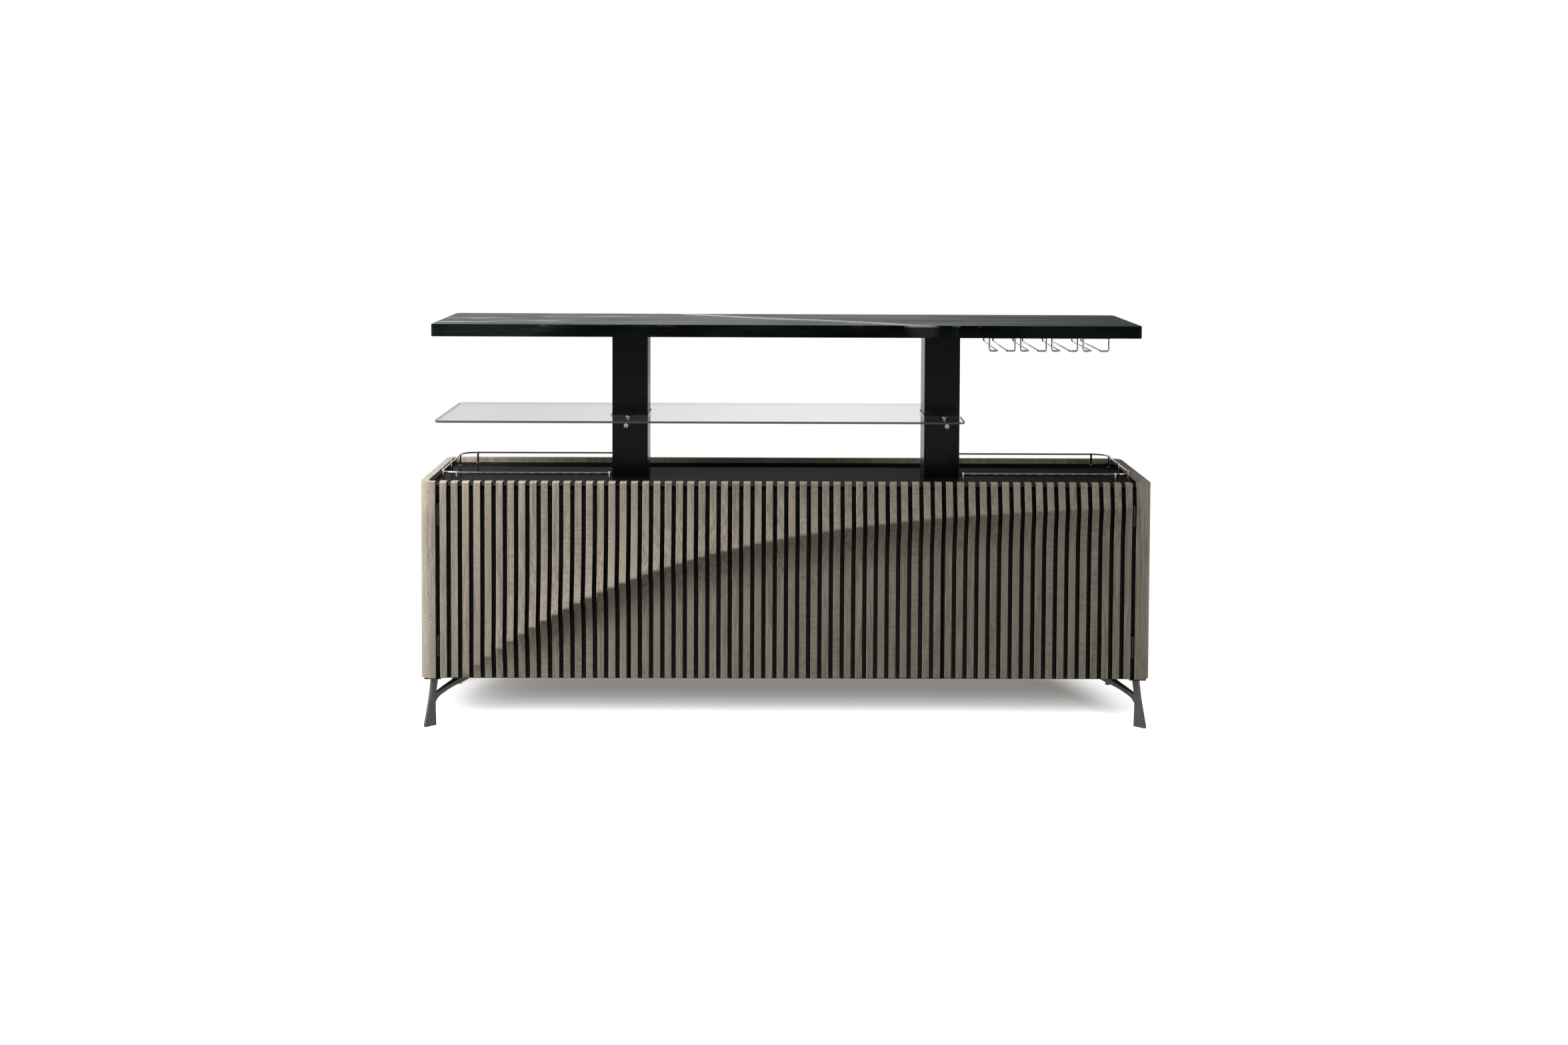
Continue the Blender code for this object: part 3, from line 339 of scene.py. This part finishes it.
ash_tones = (0.520, 0.448, 0.368), (0.470, 0.428, 0.352), (0.200, 0.172, 0.133), (0.100, 0.084, 0.063)
ash_veneer = ash("ash_greige", *ash_tones, board=0.120, start=-0.206)
eased("left_side_shell", 0.0040, [ash_veneer], "ash_greige", segments=4)
eased("right_side_shell", 0.0040, [ash_veneer], "ash_greige", segments=4)
eased("back_panel", 0.0022, [ash_veneer], "ash_greige", segments=3)

# Inside boards: plain ash panels of the carcass and of the bottle drawer, lacquered in a quieter greige,
# with the grain upright or lengthwise and lightly broken edges.
inner_tones = (0.400, 0.350, 0.285), (0.370, 0.338, 0.272), (0.230, 0.200, 0.156), (0.115, 0.096, 0.076)
ash_upright = ash("ash_inner", *inner_tones, roughness=0.55)
ash_lengthwise = ash("ash_inner_lengthwise", *inner_tones, along="X", roughness=0.55)
for side in ("left", "right"):
    eased(f"{side}_divider", 0.0008, [ash_upright], "ash_inner")
    eased(f"{side}_drawer_side", 0.0008, [ash_upright], "ash_inner")
    eased(f"{side}_shelf", 0.0008, [ash_lengthwise], "ash_inner")
for name in ("floor_panel", "drawer_back", "drawer_bottom"):
    eased(name, 0.0006, [ash_lengthwise], "ash_inner")


# Black boards: the backing of the doors and of the drawer, the boards above and below the carcass, and
# the counter's core. All are fibreboard sprayed with matt black lacquer.
mottled = bpy.data.node_groups.new("mottled_coat", "ShaderNodeTree")
mottled.interface.new_socket("Vector", in_out="INPUT", socket_type="NodeSocketVector")
for name in ("Cloud Scale", "Cloud Detail", "Texture Scale"):
    mottled.interface.new_socket(name, in_out="INPUT", socket_type="NodeSocketFloat")
for name in ("Clouds", "Texture"):
    mottled.interface.new_socket(name, in_out="OUTPUT", socket_type="NodeSocketFloat")
given = add_node(mottled, "NodeGroupInput").outputs
cloudy = {"Vector": given["Vector"], "Scale": given["Cloud Scale"], "Detail": given["Cloud Detail"]}
bumpy = {"Vector": given["Vector"], "Scale": given["Texture Scale"], "Detail": 2.0}
add_node(mottled, "NodeGroupOutput", {
    "Clouds": add_node(mottled, "ShaderNodeTexNoise", cloudy).outputs["Fac"],
    "Texture": add_node(mottled, "ShaderNodeTexNoise", bumpy).outputs["Fac"],
})


def coated(
    name, colour, roughness, metallic=0.0, mottle=0.12, scale=60.0, texture=0.0, size=1200.0, **sockets
):
    """A finish with slight cloudiness in colour and gloss, and a fine surface texture."""
    made = bpy.data.materials.new(name)
    made.use_nodes = True
    tree = made.node_tree
    tree.nodes.clear()
    place = add_node(tree, "ShaderNodeTexCoord").outputs["Object"]
    scales = {"Vector": place, "Cloud Scale": scale, "Cloud Detail": 4.0, "Texture Scale": size}
    coat = add_node(tree, "ShaderNodeGroup", scales, node_tree=mottled)
    cloud = coat.outputs["Clouds"]
    ends = [[value * (1 + change) for value in colour] for change in (-mottle, mottle)]
    gloss = {0: cloud, 1: 0.3, 2: 0.7, 3: roughness * 0.85, 4: roughness * 1.15}
    values = {"Base Color": mixed(tree, cloud, *ends), "Metallic": metallic}
    values["Roughness"] = add_node(tree, "ShaderNodeMapRange", gloss).outputs[0]
    if texture:
        relief = {"Height": coat.outputs["Texture"], "Distance": texture, "Strength": 1.0}
        values["Normal"] = add_node(tree, "ShaderNodeBump", relief).outputs[0]
    shader = add_node(tree, "ShaderNodeBsdfPrincipled", values)
    for socket, value in sockets.items():
        shader.inputs[socket.replace("_", " ")].default_value = value
    add_node(tree, "ShaderNodeOutputMaterial", {"Surface": shader.outputs[0]})
    return made


black_lacquer = coated("black_lacquer", (0.024, 0.027, 0.025), 0.5, texture=0.00002, Specular_IOR_Level=0.25)
for name in (
    "left_door_panel", "right_door_panel", "drawer_front_panel", "top_panel", "base_board", "counter_core"
):
    eased(name, 0.0006, [black_lacquer], "black_board")

# Slatted fronts of the doors and the drawer: upright ash slats with black flanks on a black backing. Their
# faces form one dune, whose ridge climbs from the lower left to the upper right. Each slat is cut to one
# profile, so the ridge steps from slat to slat.
half_opening, slats, slat_width, slat_depth = 0.957, 62, 0.0188, 0.0249
slat_pitch = (2 * half_opening + slat_width) / (slats + 1)
slat_gap = slat_pitch - slat_width
y_front, front_low, front_top, sheet_top, sheet_thickness = -0.243, 0.1355, 0.676, 0.653, 0.002
edge_round, top_round = 0.0012, 0.0046
ridge_under_top, ridge_foot, ridge_lowest, ridge_start, ridge_bend = 0.0445, 0.125, 0.144, -0.9, 0.562
most_proud, swell_start, swell_length, half_width, end_length = 0.036, -0.92, 0.33, 1, 0.12
fade_start, fade_length, fade_share, fade_power = -0.59, 1.29, 0.45, 1.5
dish_depth, dish_centre, dish_reach, reach_above, reach_below = 0.008, 0.37, 0.40, 0.220, 0.130
least_power, power_gain, rows_share, end_rows = 1.3, 0.7, 0.92, (0, 0.15, 0.5)
below_rows = (1, 0.82, 0.66, 0.52, 0.40, 0.29, 0.20, 0.12, 0.06, 0.025, 0)
above_rows = (0.02, 0.05, 0.1, 0.17, 0.26, 0.36, 0.48, 0.62, 0.8, 1)
ridge_softening = (-0.003, -0.0015, 0, 0.0015, 0.003)
ash_slats = ash("ash_greige_slats", *ash_tones, board=slat_pitch, start=-half_opening + slat_gap / 2)


def smooth_step(share):
    share = min(1.0, max(0.0, share))
    return share * share * (3 - 2 * share)


def ridge_height(x):
    high = front_top - ridge_under_top
    return max(ridge_lowest, high - (high - ridge_foot) * math.exp(-(x - ridge_start) / ridge_bend))


def face_proud(x, z):
    """How far a slat's face stands in front of the posts' plane, as on the CAD solid."""
    ridge = ridge_height(x)
    fade = 1 - fade_share * (max(0.0, x - fade_start) / fade_length) ** fade_power
    swell = smooth_step((x - swell_start) / swell_length)
    proud = most_proud * swell * fade * smooth_step((half_width - x) / end_length)
    if z >= ridge:
        reach = min(reach_above, front_top - ridge)
        power = least_power + power_gain * reach / reach_above
        return proud * max(0.0, 1 - (z - ridge) / reach) ** power
    dish = dish_depth * smooth_step(1 - abs(x - dish_centre) / dish_reach)
    reach = min(reach_below, ridge - front_low)
    return (proud + dish) * max(0.0, 1 - (ridge - z) / reach) ** 2 - dish


def rounded(distance, radius):
    """How far a rounded edge falls back, this far in from the edge."""
    inside = max(0.0, radius - distance)
    return radius - math.sqrt(max(0.0, radius * radius - inside * inside))


def slat_heights(x):
    """Heights of a slat's cross lines, close together near the ridge and at the rounded ends."""
    ridge = ridge_height(x)
    below = min(reach_below, rows_share * (ridge - front_low))
    above = min(reach_above, rows_share * (front_top - ridge))
    heights = [front_low + top_round * share for share in end_rows]
    heights += [ridge - below * share for share in below_rows]
    heights += [ridge + above * share for share in above_rows]
    return heights + [front_top - top_round * share for share in (1, *reversed(end_rows))]


rows = len(slat_heights(0.0))
bm = bmesh.new()
bmesh.ops.create_cube(bm, size=1.0, matrix=Matrix.Translation((0.5, 0.5, 0.5)))
bmesh.ops.scale(bm, vec=(slat_width, slat_depth, rows - 1), verts=bm.verts)
bmesh.ops.bevel(
    bm, geom=[edge for edge in bm.edges if edge.calc_length() > 1 and edge.verts[0].co.y < 0.001],
    offset=edge_round, segments=3, profile=0.5, affect="EDGES", clamp_overlap=True, material=-1,
)
upright = [edge for edge in bm.edges if edge.calc_length() > 1]
bmesh.ops.subdivide_edges(bm, edges=upright, cuts=rows - 2, use_grid_fill=True)
bm.normal_update()
for face in bm.faces:
    face.material_index = abs(face.normal.x) > 0.99 or face.normal.y > 0.5
blank_slat = bpy.data.meshes.new("blank_slat")
bm.to_mesh(blank_slat)
bm.free()
for name, body, first, last in (
    ("left_door_slats", "left_door", 0, 16), ("drawer_slats", "drawer", 17, 44),
    ("right_door_slats", "right_door", 45, 61),
):
    bm = bmesh.new()
    for number in range(first, last + 1):
        left = -half_opening + slat_gap + number * slat_pitch
        middle = left + slat_width / 2
        heights = slat_heights(middle)
        done = len(bm.verts)
        bm.from_mesh(blank_slat)
        bm.verts.ensure_lookup_table()
        for vert in bm.verts[done:]:
            on_front = vert.co.y < 2 * edge_round
            z = heights[round(vert.co.z)]
            vert.co = (left + vert.co.x, y_front + vert.co.y, z)
            if on_front:
                near = [face_proud(middle, z + step) for step in ridge_softening]
                ends = rounded(front_top - z, top_round) + rounded(z - front_low, top_round / 2)
                vert.co.y += ends - sum(near) / len(near)
    start = -half_opening + slat_gap + first * slat_pitch
    end = -half_opening + slat_gap + last * slat_pitch + slat_width
    centre = ((start + end) / 2, y_front + slat_depth, (sheet_top + front_low) / 2)
    sheet = bmesh.ops.create_cube(bm, size=1.0)["verts"]
    bmesh.ops.scale(bm, vec=(end - start, sheet_thickness, sheet_top - front_low), verts=sheet)
    bmesh.ops.translate(bm, vec=centre, verts=sheet)
    for face in {face for vert in sheet for face in vert.link_faces}:
        face.material_index = 1
    bmesh.ops.recalc_face_normals(bm, faces=bm.faces)
    finishes = [ash_slats, black_lacquer]
    place_piece(f"{name}_carved", finish_mesh(bm, name, 40), body, finishes, "ash_greige", name)

# Hinges, drawer runners and catches: leaves of black coated steel, runners of zinc-plated steel in three
# members each, and magnetic catches in black plastic cases.
coated_steel = coated("black_steel", (0.0065, 0.0075, 0.0075), 0.36, texture=0.00002, size=900.0)
zinc = coated("zinc_steel", (0.52, 0.52, 0.54), 0.34, metallic=1.0, mottle=0.12, scale=35.0)
black_plastic = coated("black_plastic", (0.016, 0.016, 0.016), 0.5, texture=0.00002)
for side in ("left", "right"):
    eased(f"{side}_door_catch", 0.0010, [black_plastic], "black_plastic")
    for member in ("outer", "middle", "inner"):
        eased(f"{side}_runner_{member}", 0.0002, [zinc], "zinc_steel")
    for height in ("lower", "upper"):
        for leaf in ("post_leaf", "door_leaf"):
            eased(f"{side}_{height}_hinge_{leaf}", 0.0002, [coated_steel], "black_metal")

# Deck: one sheet of black back-painted glass with a polished edge. It lies on the top panel, sunk inside
# the wooden rim, and is cut out for the columns.
black_glass = coated(
    "black_glass", (0.012, 0.012, 0.012), 0.12, mottle=0.05,
    Specular_IOR_Level=0.0, Coat_Weight=0.055, Coat_Roughness=0.06,
)
eased("deck_glass", 0.0008, [black_glass], "black_glass")

# Columns: two box tubes of sheet steel, powder-coated in fine black. They pass through the deck, stand on
# the top panel and carry the counter's core board.
powder_coat = coated(
    "black_powder_coat", (0.0036, 0.0042, 0.0042), 0.30, texture=0.00002, size=900.0, Specular_IOR_Level=0.20
)
eased("left_column", 0.0006, [powder_coat], "black_metal")
eased("right_column", 0.0006, [powder_coat], "black_metal")

# Glass shelf: a clear toughened sheet with a ground, darker edge. It lies on two round chrome bars that
# pass through the columns, and a chrome cap holds it down at the front and the back of each bar.
sheets = []
# The sheet's cover falls from its left end to the right, so the sheet shows darker at the left: painted
# shade. The edge's cover stays even.
for name, colour, cover_with_painted_shade in (
    ("clear_glass", (0.100, 0.105, 0.104), (0.43, 0.21)),
    ("clear_glass_edge", (0.030, 0.036, 0.035), (0.95, 0.95)),
):
    glass = bpy.data.materials.new(name)
    glass.use_nodes = True
    tree = glass.node_tree
    tree.nodes.clear()
    place = add_node(tree, "ShaderNodeTexCoord").outputs["Object"]
    smears = {"Vector": place, "Cloud Scale": 4.0, "Cloud Detail": 2.0}
    smear = add_node(tree, "ShaderNodeGroup", smears, node_tree=mottled).outputs["Clouds"]
    along = add_node(tree, "ShaderNodeSeparateXYZ", {0: place}).outputs["X"]
    shader = add_node(tree, "ShaderNodeBsdfPrincipled", {
        "Base Color": mixed(tree, smear, [value * 0.94 for value in colour], colour), "IOR": 1.5,
        "Roughness": soft_range(tree, smear, 0.3, 0.7, 0.02, 0.06),
        # Painted shade: more cover, so darker over the white, towards the sheet's left end.
        "Alpha": soft_range(tree, along, -0.95, 0.10, *cover_with_painted_shade),
    })
    add_node(tree, "ShaderNodeOutputMaterial", {"Surface": shader.outputs[0]})
    sheets.append(glass)
eased("glass_shelf", 0.0007, sheets, "clear_glass")
chrome = coated("chrome", (0.48, 0.48, 0.47), 0.12, metallic=1.0, mottle=0.03)


def turned_part(bm, profile, centre, along_y=False, steps=24):
    """A turned part: (radius, height) pairs from the axis out and back, spun round it."""
    before = set(bm.verts)
    outline = [bm.verts.new((radius, 0, height)) for radius, height in profile]
    edges = [bm.edges.new(pair) for pair in zip(outline, outline[1:])]
    bmesh.ops.spin(
        bm, geom=outline + edges, cent=(0, 0, 0), axis=(0, 0, 1), angle=math.tau, steps=steps, use_merge=True
    )
    made = [vert for vert in bm.verts if vert not in before]
    bmesh.ops.remove_doubles(bm, verts=made, dist=1e-5)
    made = [vert for vert in bm.verts if vert not in before]
    if along_y:
        bmesh.ops.rotate(bm, verts=made, cent=(0, 0, 0), matrix=Matrix.Rotation(-math.pi / 2, 3, "X"))
    bmesh.ops.translate(bm, verts=made, vec=centre)


column_x, glass_low, glass_high, bar_radius = 0.4395, 0.8345, 0.8405, 0.0065
bar_start, cap_places = y_front + 0.030, (("front", y_front + 0.126), ("rear", y_front + 0.406))
bar_z, bar_length = glass_low - 0.0003 - bar_radius, 0.472
bar_profile = [
    (0, 0.007), (0.0030, 0.007), (0.0034, 0.0005), (0.0038, 0), (0.0059, 0), (bar_radius, 0.0007),
    (bar_radius, bar_length - 0.0007), (0.0058, bar_length), (0, bar_length),
]
cap_profile = [
    (0, bar_z + 0.0006), (0.0029, bar_z + 0.0006), (0.0029, glass_high), (0.0066, glass_high + 0.0003),
    (0.0070, glass_high + 0.0008), (0.0069, glass_high + 0.0026), (0.0060, glass_high + 0.0038),
    (0.0040, glass_high + 0.0045), (0, glass_high + 0.0045),
]
for side_word, side in (("left", -1), ("right", 1)):
    bm = bmesh.new()
    turned_part(bm, bar_profile, (side * column_x, bar_start, bar_z), along_y=True, steps=28)
    bmesh.ops.recalc_face_normals(bm, faces=bm.faces)
    name = f"{side_word}_shelf_bar"
    place_piece(f"{name}_turned", finish_mesh(bm, name, 35), "root", [chrome], "chrome", name)
    for depth_word, y in cap_places:
        bm = bmesh.new()
        turned_part(bm, cap_profile, (side * column_x, y, 0))
        bmesh.ops.recalc_face_normals(bm, faces=bm.faces)
        name = f"{side_word}_{depth_word}_shelf_cap"
        place_piece(f"{name}_turned", finish_mesh(bm, name, 50), "root", [chrome], "chrome", name)

# Counter: a slab of near-black green stone on the core board, honed, with broken edges. Thin pale streaks
# run along its length and gather to the left, and one long pale vein crosses the top.
vein_place, vein_slope, pale_mark, top_begins = 0.103, 0.66, (0.62, 0.64, 0.62), (1.098, 1.104)
warp_reach, left_share, stray_share, torn_width, least_width = (0.10, 0.060, 0.060), 0.42, 0.02, 0.060, 0.004
core_share, thread_share, stone_sheen = 0.9, 0.5, 0.03
darkest_stone, lightest_stone = (0.0016, 0.0030, 0.0025), (0.0105, 0.0185, 0.0155)
stone = bpy.data.materials.new("dark_stone")
stone.use_nodes = True
tree = stone.node_tree
tree.nodes.clear()
place = add_node(tree, "ShaderNodeTexCoord").outputs["Object"]
warp = stretched_noise(tree, place, (2.0, 7, 7), 4.0).outputs["Color"]
bent = vectors(tree, "ADD", place, vectors(tree, "MULTIPLY", warp, warp_reach))
parts = add_node(tree, "ShaderNodeSeparateXYZ", {0: bent})
ground = soft_range(tree, stretched_noise(tree, bent, (3.0, 11, 11), 8.0, 0.62).outputs["Fac"], 0.38, 0.72)
lines = soft_range(tree, stretched_noise(tree, bent, (2.6, 19, 30), 6.0, 0.62).outputs["Fac"], 0.53, 0.61)
patches = soft_range(tree, stretched_noise(tree, place, (3, 9, 9)).outputs["Fac"], 0.40, 0.58)
gathered = maths(tree, "MULTIPLY", soft_range(tree, parts.outputs["X"], 0.25, -0.75), patches)
shown = maths(tree, "ADD", maths(tree, "MULTIPLY", gathered, left_share), stray_share)
streaks = maths(tree, "MULTIPLY", lines, shown)
course = maths(tree, "ADD", parts.outputs["Y"], maths(tree, "MULTIPLY", parts.outputs["X"], vein_slope))
offset = maths(tree, "ABSOLUTE", maths(tree, "SUBTRACT", course, vein_place))
torn = stretched_noise(tree, place, (9, 30, 30), 5.0, 0.65).outputs["Fac"]
width = maths(tree, "ADD", maths(tree, "MULTIPLY", torn, torn_width), least_width)
core = soft_range(tree, maths(tree, "DIVIDE", offset, width), 1.0, 0.3)
core = maths(tree, "MULTIPLY", core, core_share)
lengthwise = add_node(tree, "ShaderNodeCombineXYZ", {0: parts.outputs["X"], 1: course}).outputs[0]
drawn = stretched_noise(tree, lengthwise, (2.2, 26, 1), 5.0, 0.6).outputs["Fac"]
threads = soft_range(tree, drawn, 0.52, 0.60)
beside = maths(tree, "MULTIPLY", soft_range(tree, offset, 0.15, 0.02, 0.0, thread_share), threads)
vein = maths(tree, "MAXIMUM", core, beside)
height = add_node(tree, "ShaderNodeSeparateXYZ", {0: place}).outputs["Z"]
on_top = soft_range(tree, height, *top_begins, 0.06, 1.0)
marks = maths(tree, "MULTIPLY", maths(tree, "MAXIMUM", streaks, vein), on_top)
base = mixed(tree, ground, darkest_stone, lightest_stone)
sheen = add_node(tree, "ShaderNodeMapRange", {0: ground, 3: 0.32, 4: 0.42})
shader = add_node(tree, "ShaderNodeBsdfPrincipled", {
    "Base Color": mixed(tree, marks, base, pale_mark), "Roughness": sheen.outputs[0],
    "Specular IOR Level": stone_sheen,
})
add_node(tree, "ShaderNodeOutputMaterial", {"Surface": shader.outputs[0]})
eased("counter_top", 0.0022, [stone], "dark_stone", segments=3)


# Stemware rack: four slots of chromed wire under the right end of the counter. Each wire drops from a
# strap at the front, turns in to form the slot, and runs back and up to a second strap.
def loft(bm, rings):
    """A closed skin over rings of points: the first ring, extruded to each of the others."""
    verts = bmesh.ops.create_circle(bm, cap_ends=True, segments=len(rings[0]), radius=1)["verts"]
    order = {vert: i for i, vert in enumerate(verts)}
    edges = list(dict.fromkeys(edge for vert in verts for edge in vert.link_edges))
    for vert in verts:
        vert.co = rings[0][order[vert]]
    for ring in rings[1:]:
        grown = bmesh.ops.extrude_edge_only(bm, edges=edges)["geom"]
        fresh = {part for part in grown if isinstance(part, bmesh.types.BMVert)}
        edges = [part for part in grown if isinstance(part, bmesh.types.BMEdge)]
        edges = [edge for edge in edges if edge.verts[0] in fresh and edge.verts[1] in fresh]
        following = {}
        for vert in fresh:
            for edge in vert.link_edges:
                if edge.other_vert(vert) in order:
                    following[vert] = order[edge.other_vert(vert)]
            vert.co = ring[following[vert]]
        order = following
    bmesh.ops.contextual_create(bm, geom=edges)


def rod(bm, points, radius, sides=16):
    """A round rod along the points, closed at both ends."""
    points = [Vector(point) for point in points]
    normal = None
    rings = []
    for i, point in enumerate(points):
        ahead = (points[min(i + 1, len(points) - 1)] - points[max(i - 1, 0)]).normalized()
        if normal is None:
            normal = ahead.orthogonal().normalized()
        normal = (normal - ahead * normal.dot(ahead)).normalized()
        side = ahead.cross(normal)
        turns = [math.tau * step / sides for step in range(sides)]
        rings.append([point + (normal * math.cos(t) + side * math.sin(t)) * radius for t in turns])
    loft(bm, rings)


counter_low, wire_drop, rack_front, rack_back = 1.071, 0.037, -0.191, 0.169
holders, last_holder_x, holder_pitch = 4, 0.8492, 0.0859
riser_reach, track_reach, wire_bend, wire_turn, wire_radius = 0.0352, 0.0135, 0.006, 0.010, 0.0025
strap_z, strap_margin, strap_size, strap_corner = counter_low - 0.0013, 0.0045, (0.014, 0.002), 0.003
wire_z = counter_low - wire_drop
quarter = [math.radians(15 * step) for step in range(7)]
for number in range(holders):
    centre = last_holder_x - (holders - 1 - number) * holder_pitch
    bm = bmesh.new()
    for side in (-1, 1):
        riser, track = centre + side * riser_reach, centre + side * track_reach
        path = [(riser, rack_front, strap_z)]
        for t in quarter:
            inset, rise = wire_bend * (1 - math.cos(t)), wire_bend * (1 - math.sin(t))
            path.append((riser - side * inset, rack_front, wire_z + rise))
        for t in quarter:
            outset, run = wire_turn * (1 - math.sin(t)), wire_turn * (1 - math.cos(t))
            path.append((track + side * outset, rack_front + run, wire_z))
        for t in quarter:
            run, rise = wire_bend * (1 - math.sin(t)), wire_bend * (1 - math.cos(t))
            path.append((track, rack_back - run, wire_z + rise))
        path.append((track, rack_back, strap_z))
        rod(bm, path, wire_radius, sides=14)
    for y, reach in ((rack_front, riser_reach), (rack_back, track_reach)):
        strap = bmesh.ops.create_cube(bm, size=1.0)["verts"]
        bmesh.ops.scale(bm, vec=(2 * (reach + strap_margin), *strap_size), verts=strap)
        bmesh.ops.translate(bm, vec=(centre, y, strap_z), verts=strap)
        corners = dict.fromkeys(edge for vert in strap for edge in vert.link_edges)
        corners = [edge for edge in corners if edge.calc_length() < strap_size[0] / 2]
        bmesh.ops.bevel(
            bm, geom=corners, offset=strap_corner, segments=3, profile=0.5, affect="EDGES",
            clamp_overlap=True, material=-1,
        )
    bmesh.ops.recalc_face_normals(bm, faces=bm.faces)
    name = f"stemware_holder_{number + 1}"
    place_piece(f"{name}_wires", finish_mesh(bm, name, 50), "root", [chrome], "chrome", name)

# Gallery rails: a thin chromed rod bent round each end of the deck, on seven turned posts. Each post has a
# small foot on the glass and a collar at the rod.
deck_top, rail_z, rail_bend, rail_radius = 0.662, 0.694, 0.044, 0.0024
rail_front, rail_back, rail_outer, rail_inner = y_front + 0.055, y_front + 0.478, 0.9505, 0.484
bend_x, post_gap, end_gap = rail_outer - rail_bend, 0.056, 0.003
post_profile = [
    (0, 0.0003), (0.0050, 0.0003), (0.0053, 0.0008), (0.0050, 0.0019), (0.0030, 0.0024), (0.0030, 0.0270),
    (0.0037, 0.0276), (0.0038, 0.0344), (0.0034, 0.0350), (0, 0.0350),
]
for side_word, side in (("left", -1), ("right", 1)):
    plan = [(rail_inner, rail_front)]
    for centre_y, start in ((rail_front + rail_bend, -90), (rail_back - rail_bend, 0)):
        for step in range(11):
            t = math.radians(start + 9 * step)
            plan.append((bend_x + rail_bend * math.cos(t), centre_y + rail_bend * math.sin(t)))
    plan.append((rail_inner, rail_back))
    bm = bmesh.new()
    rod(bm, [(side * x, y, rail_z) for x, y in plan], rail_radius)
    for x, y in (
        (rail_inner + end_gap, rail_front), (bend_x, rail_front), (rail_outer, rail_front + post_gap),
        (rail_outer, (rail_front + rail_back) / 2), (rail_outer, rail_back - post_gap), (bend_x, rail_back),
        (rail_inner + end_gap, rail_back),
    ):
        turned_part(bm, post_profile, (side * x, y, deck_top), steps=20)
    bmesh.ops.recalc_face_normals(bm, faces=bm.faces)
    name = f"{side_word}_gallery_rail"
    place_piece(f"{name}_turned", finish_mesh(bm, name, 50), "root", [chrome], "chrome", name)


# Legs: each is cast in one piece, a blade on its corner's diagonal that forks into an upright limb and a
# strut, with softly rounded sections and a dark grey coat.
def oval(centre, along, across, length, thickness, sides=24):
    """A rounded rectangle between the two directions."""
    points = []
    for i in range(sides):
        a, b = math.cos(math.tau * (i + 0.5) / sides), math.sin(math.tau * (i + 0.5) / sides)
        stretch = (abs(a) ** 8 + abs(b) ** 8) ** (-1 / 8)
        points.append(centre + along * (a * stretch * length / 2) + across * (b * stretch * thickness / 2))
    return points


def smoothed(rows, steps=5):
    """The rows of numbers with smooth in-between rows."""
    result = []
    for i in range(len(rows) - 1):
        before, this = rows[max(0, i - 1)], rows[i]
        following, after = rows[i + 1], rows[min(len(rows) - 1, i + 2)]
        for step in range(steps):
            t = step / steps
            result.append([
                0.5 * (
                    2 * q + (r - p) * t + (2 * p - 5 * q + 4 * r - s) * t ** 2
                    + (3 * q - p - 3 * r + s) * t ** 3
                )
                for p, q, r, s in zip(before, this, following, after)
            ])
    return result + [list(rows[-1])]


cast_metal = coated(
    "cast_anthracite", (0.142, 0.142, 0.128), 0.42, metallic=0.5, mottle=0.2, texture=0.00006, size=500.0
)
inward, across, rise = Vector((-1, 1, 0)).normalized(), Vector((1, 1, 0)).normalized(), Vector((0, 0, 1))
foot, leg_top, leg_thickness, mirror_line = Vector((0.9735, y_front + 0.0152, 0)), 0.1294, 0.0122, 0.0325
# The blade's reach inwards, share of the height, and length.
blade = smoothed([
    (-0.0030, 0, 0.0375), (-0.0006, 0.22, 0.0300), (0.0024, 0.45, 0.0222),
    (0.0054, 0.64, 0.0182), (0.0125, 1, 0.0182),
])
# The strut's lower edge and upper edge, each as reach inwards and share of the height, and its thickness.
strut = smoothed([
    (0.009, 0.400, 0.0010, 0.620, 0.0114), (0.0150, 0.510, 0.0060, 0.665, 0.0114),
    (0.0270, 0.607, 0.0214, 0.716, 0.0120), (0.0505, 0.692, 0.0446, 0.794, 0.0140),
    (0.0755, 0.762, 0.0690, 0.866, 0.0170), (0.1250, 0.862, 0.0910, 0.940, 0.022),
    (0.1760, 1, 0.1100, 1, 0.0220),
])
for depth_word, front_leg in (("front", True), ("rear", False)):
    for side_word, side in (("left", -1), ("right", 1)):
        bm = bmesh.new()
        rings = []
        for reach, share, length in blade:
            centre = foot + inward * reach + rise * share * leg_top
            rings.append(oval(centre, inward, across, length, leg_thickness))
        loft(bm, rings)
        rings = []
        for low_reach, low_share, high_reach, high_share, thickness in strut:
            lower = foot + inward * low_reach + rise * low_share * leg_top
            upper = foot + inward * high_reach + rise * min(1.0, high_share) * leg_top
            spine = upper - lower
            rings.append(oval(lower + spine / 2, spine.normalized(), across, spine.length, thickness))
        loft(bm, rings)
        for vert in bm.verts:
            vert.co.z = min(leg_top, max(0.0, vert.co.z))
            vert.co.x *= side
            if not front_leg:
                vert.co.y = mirror_line - vert.co.y
        bmesh.ops.recalc_face_normals(bm, faces=bm.faces)
        name = f"{depth_word}_{side_word}_leg"
        place_piece(f"{name}_cast", finish_mesh(bm, name, 60), "root", [cast_metal], "cast_anthracite", name)
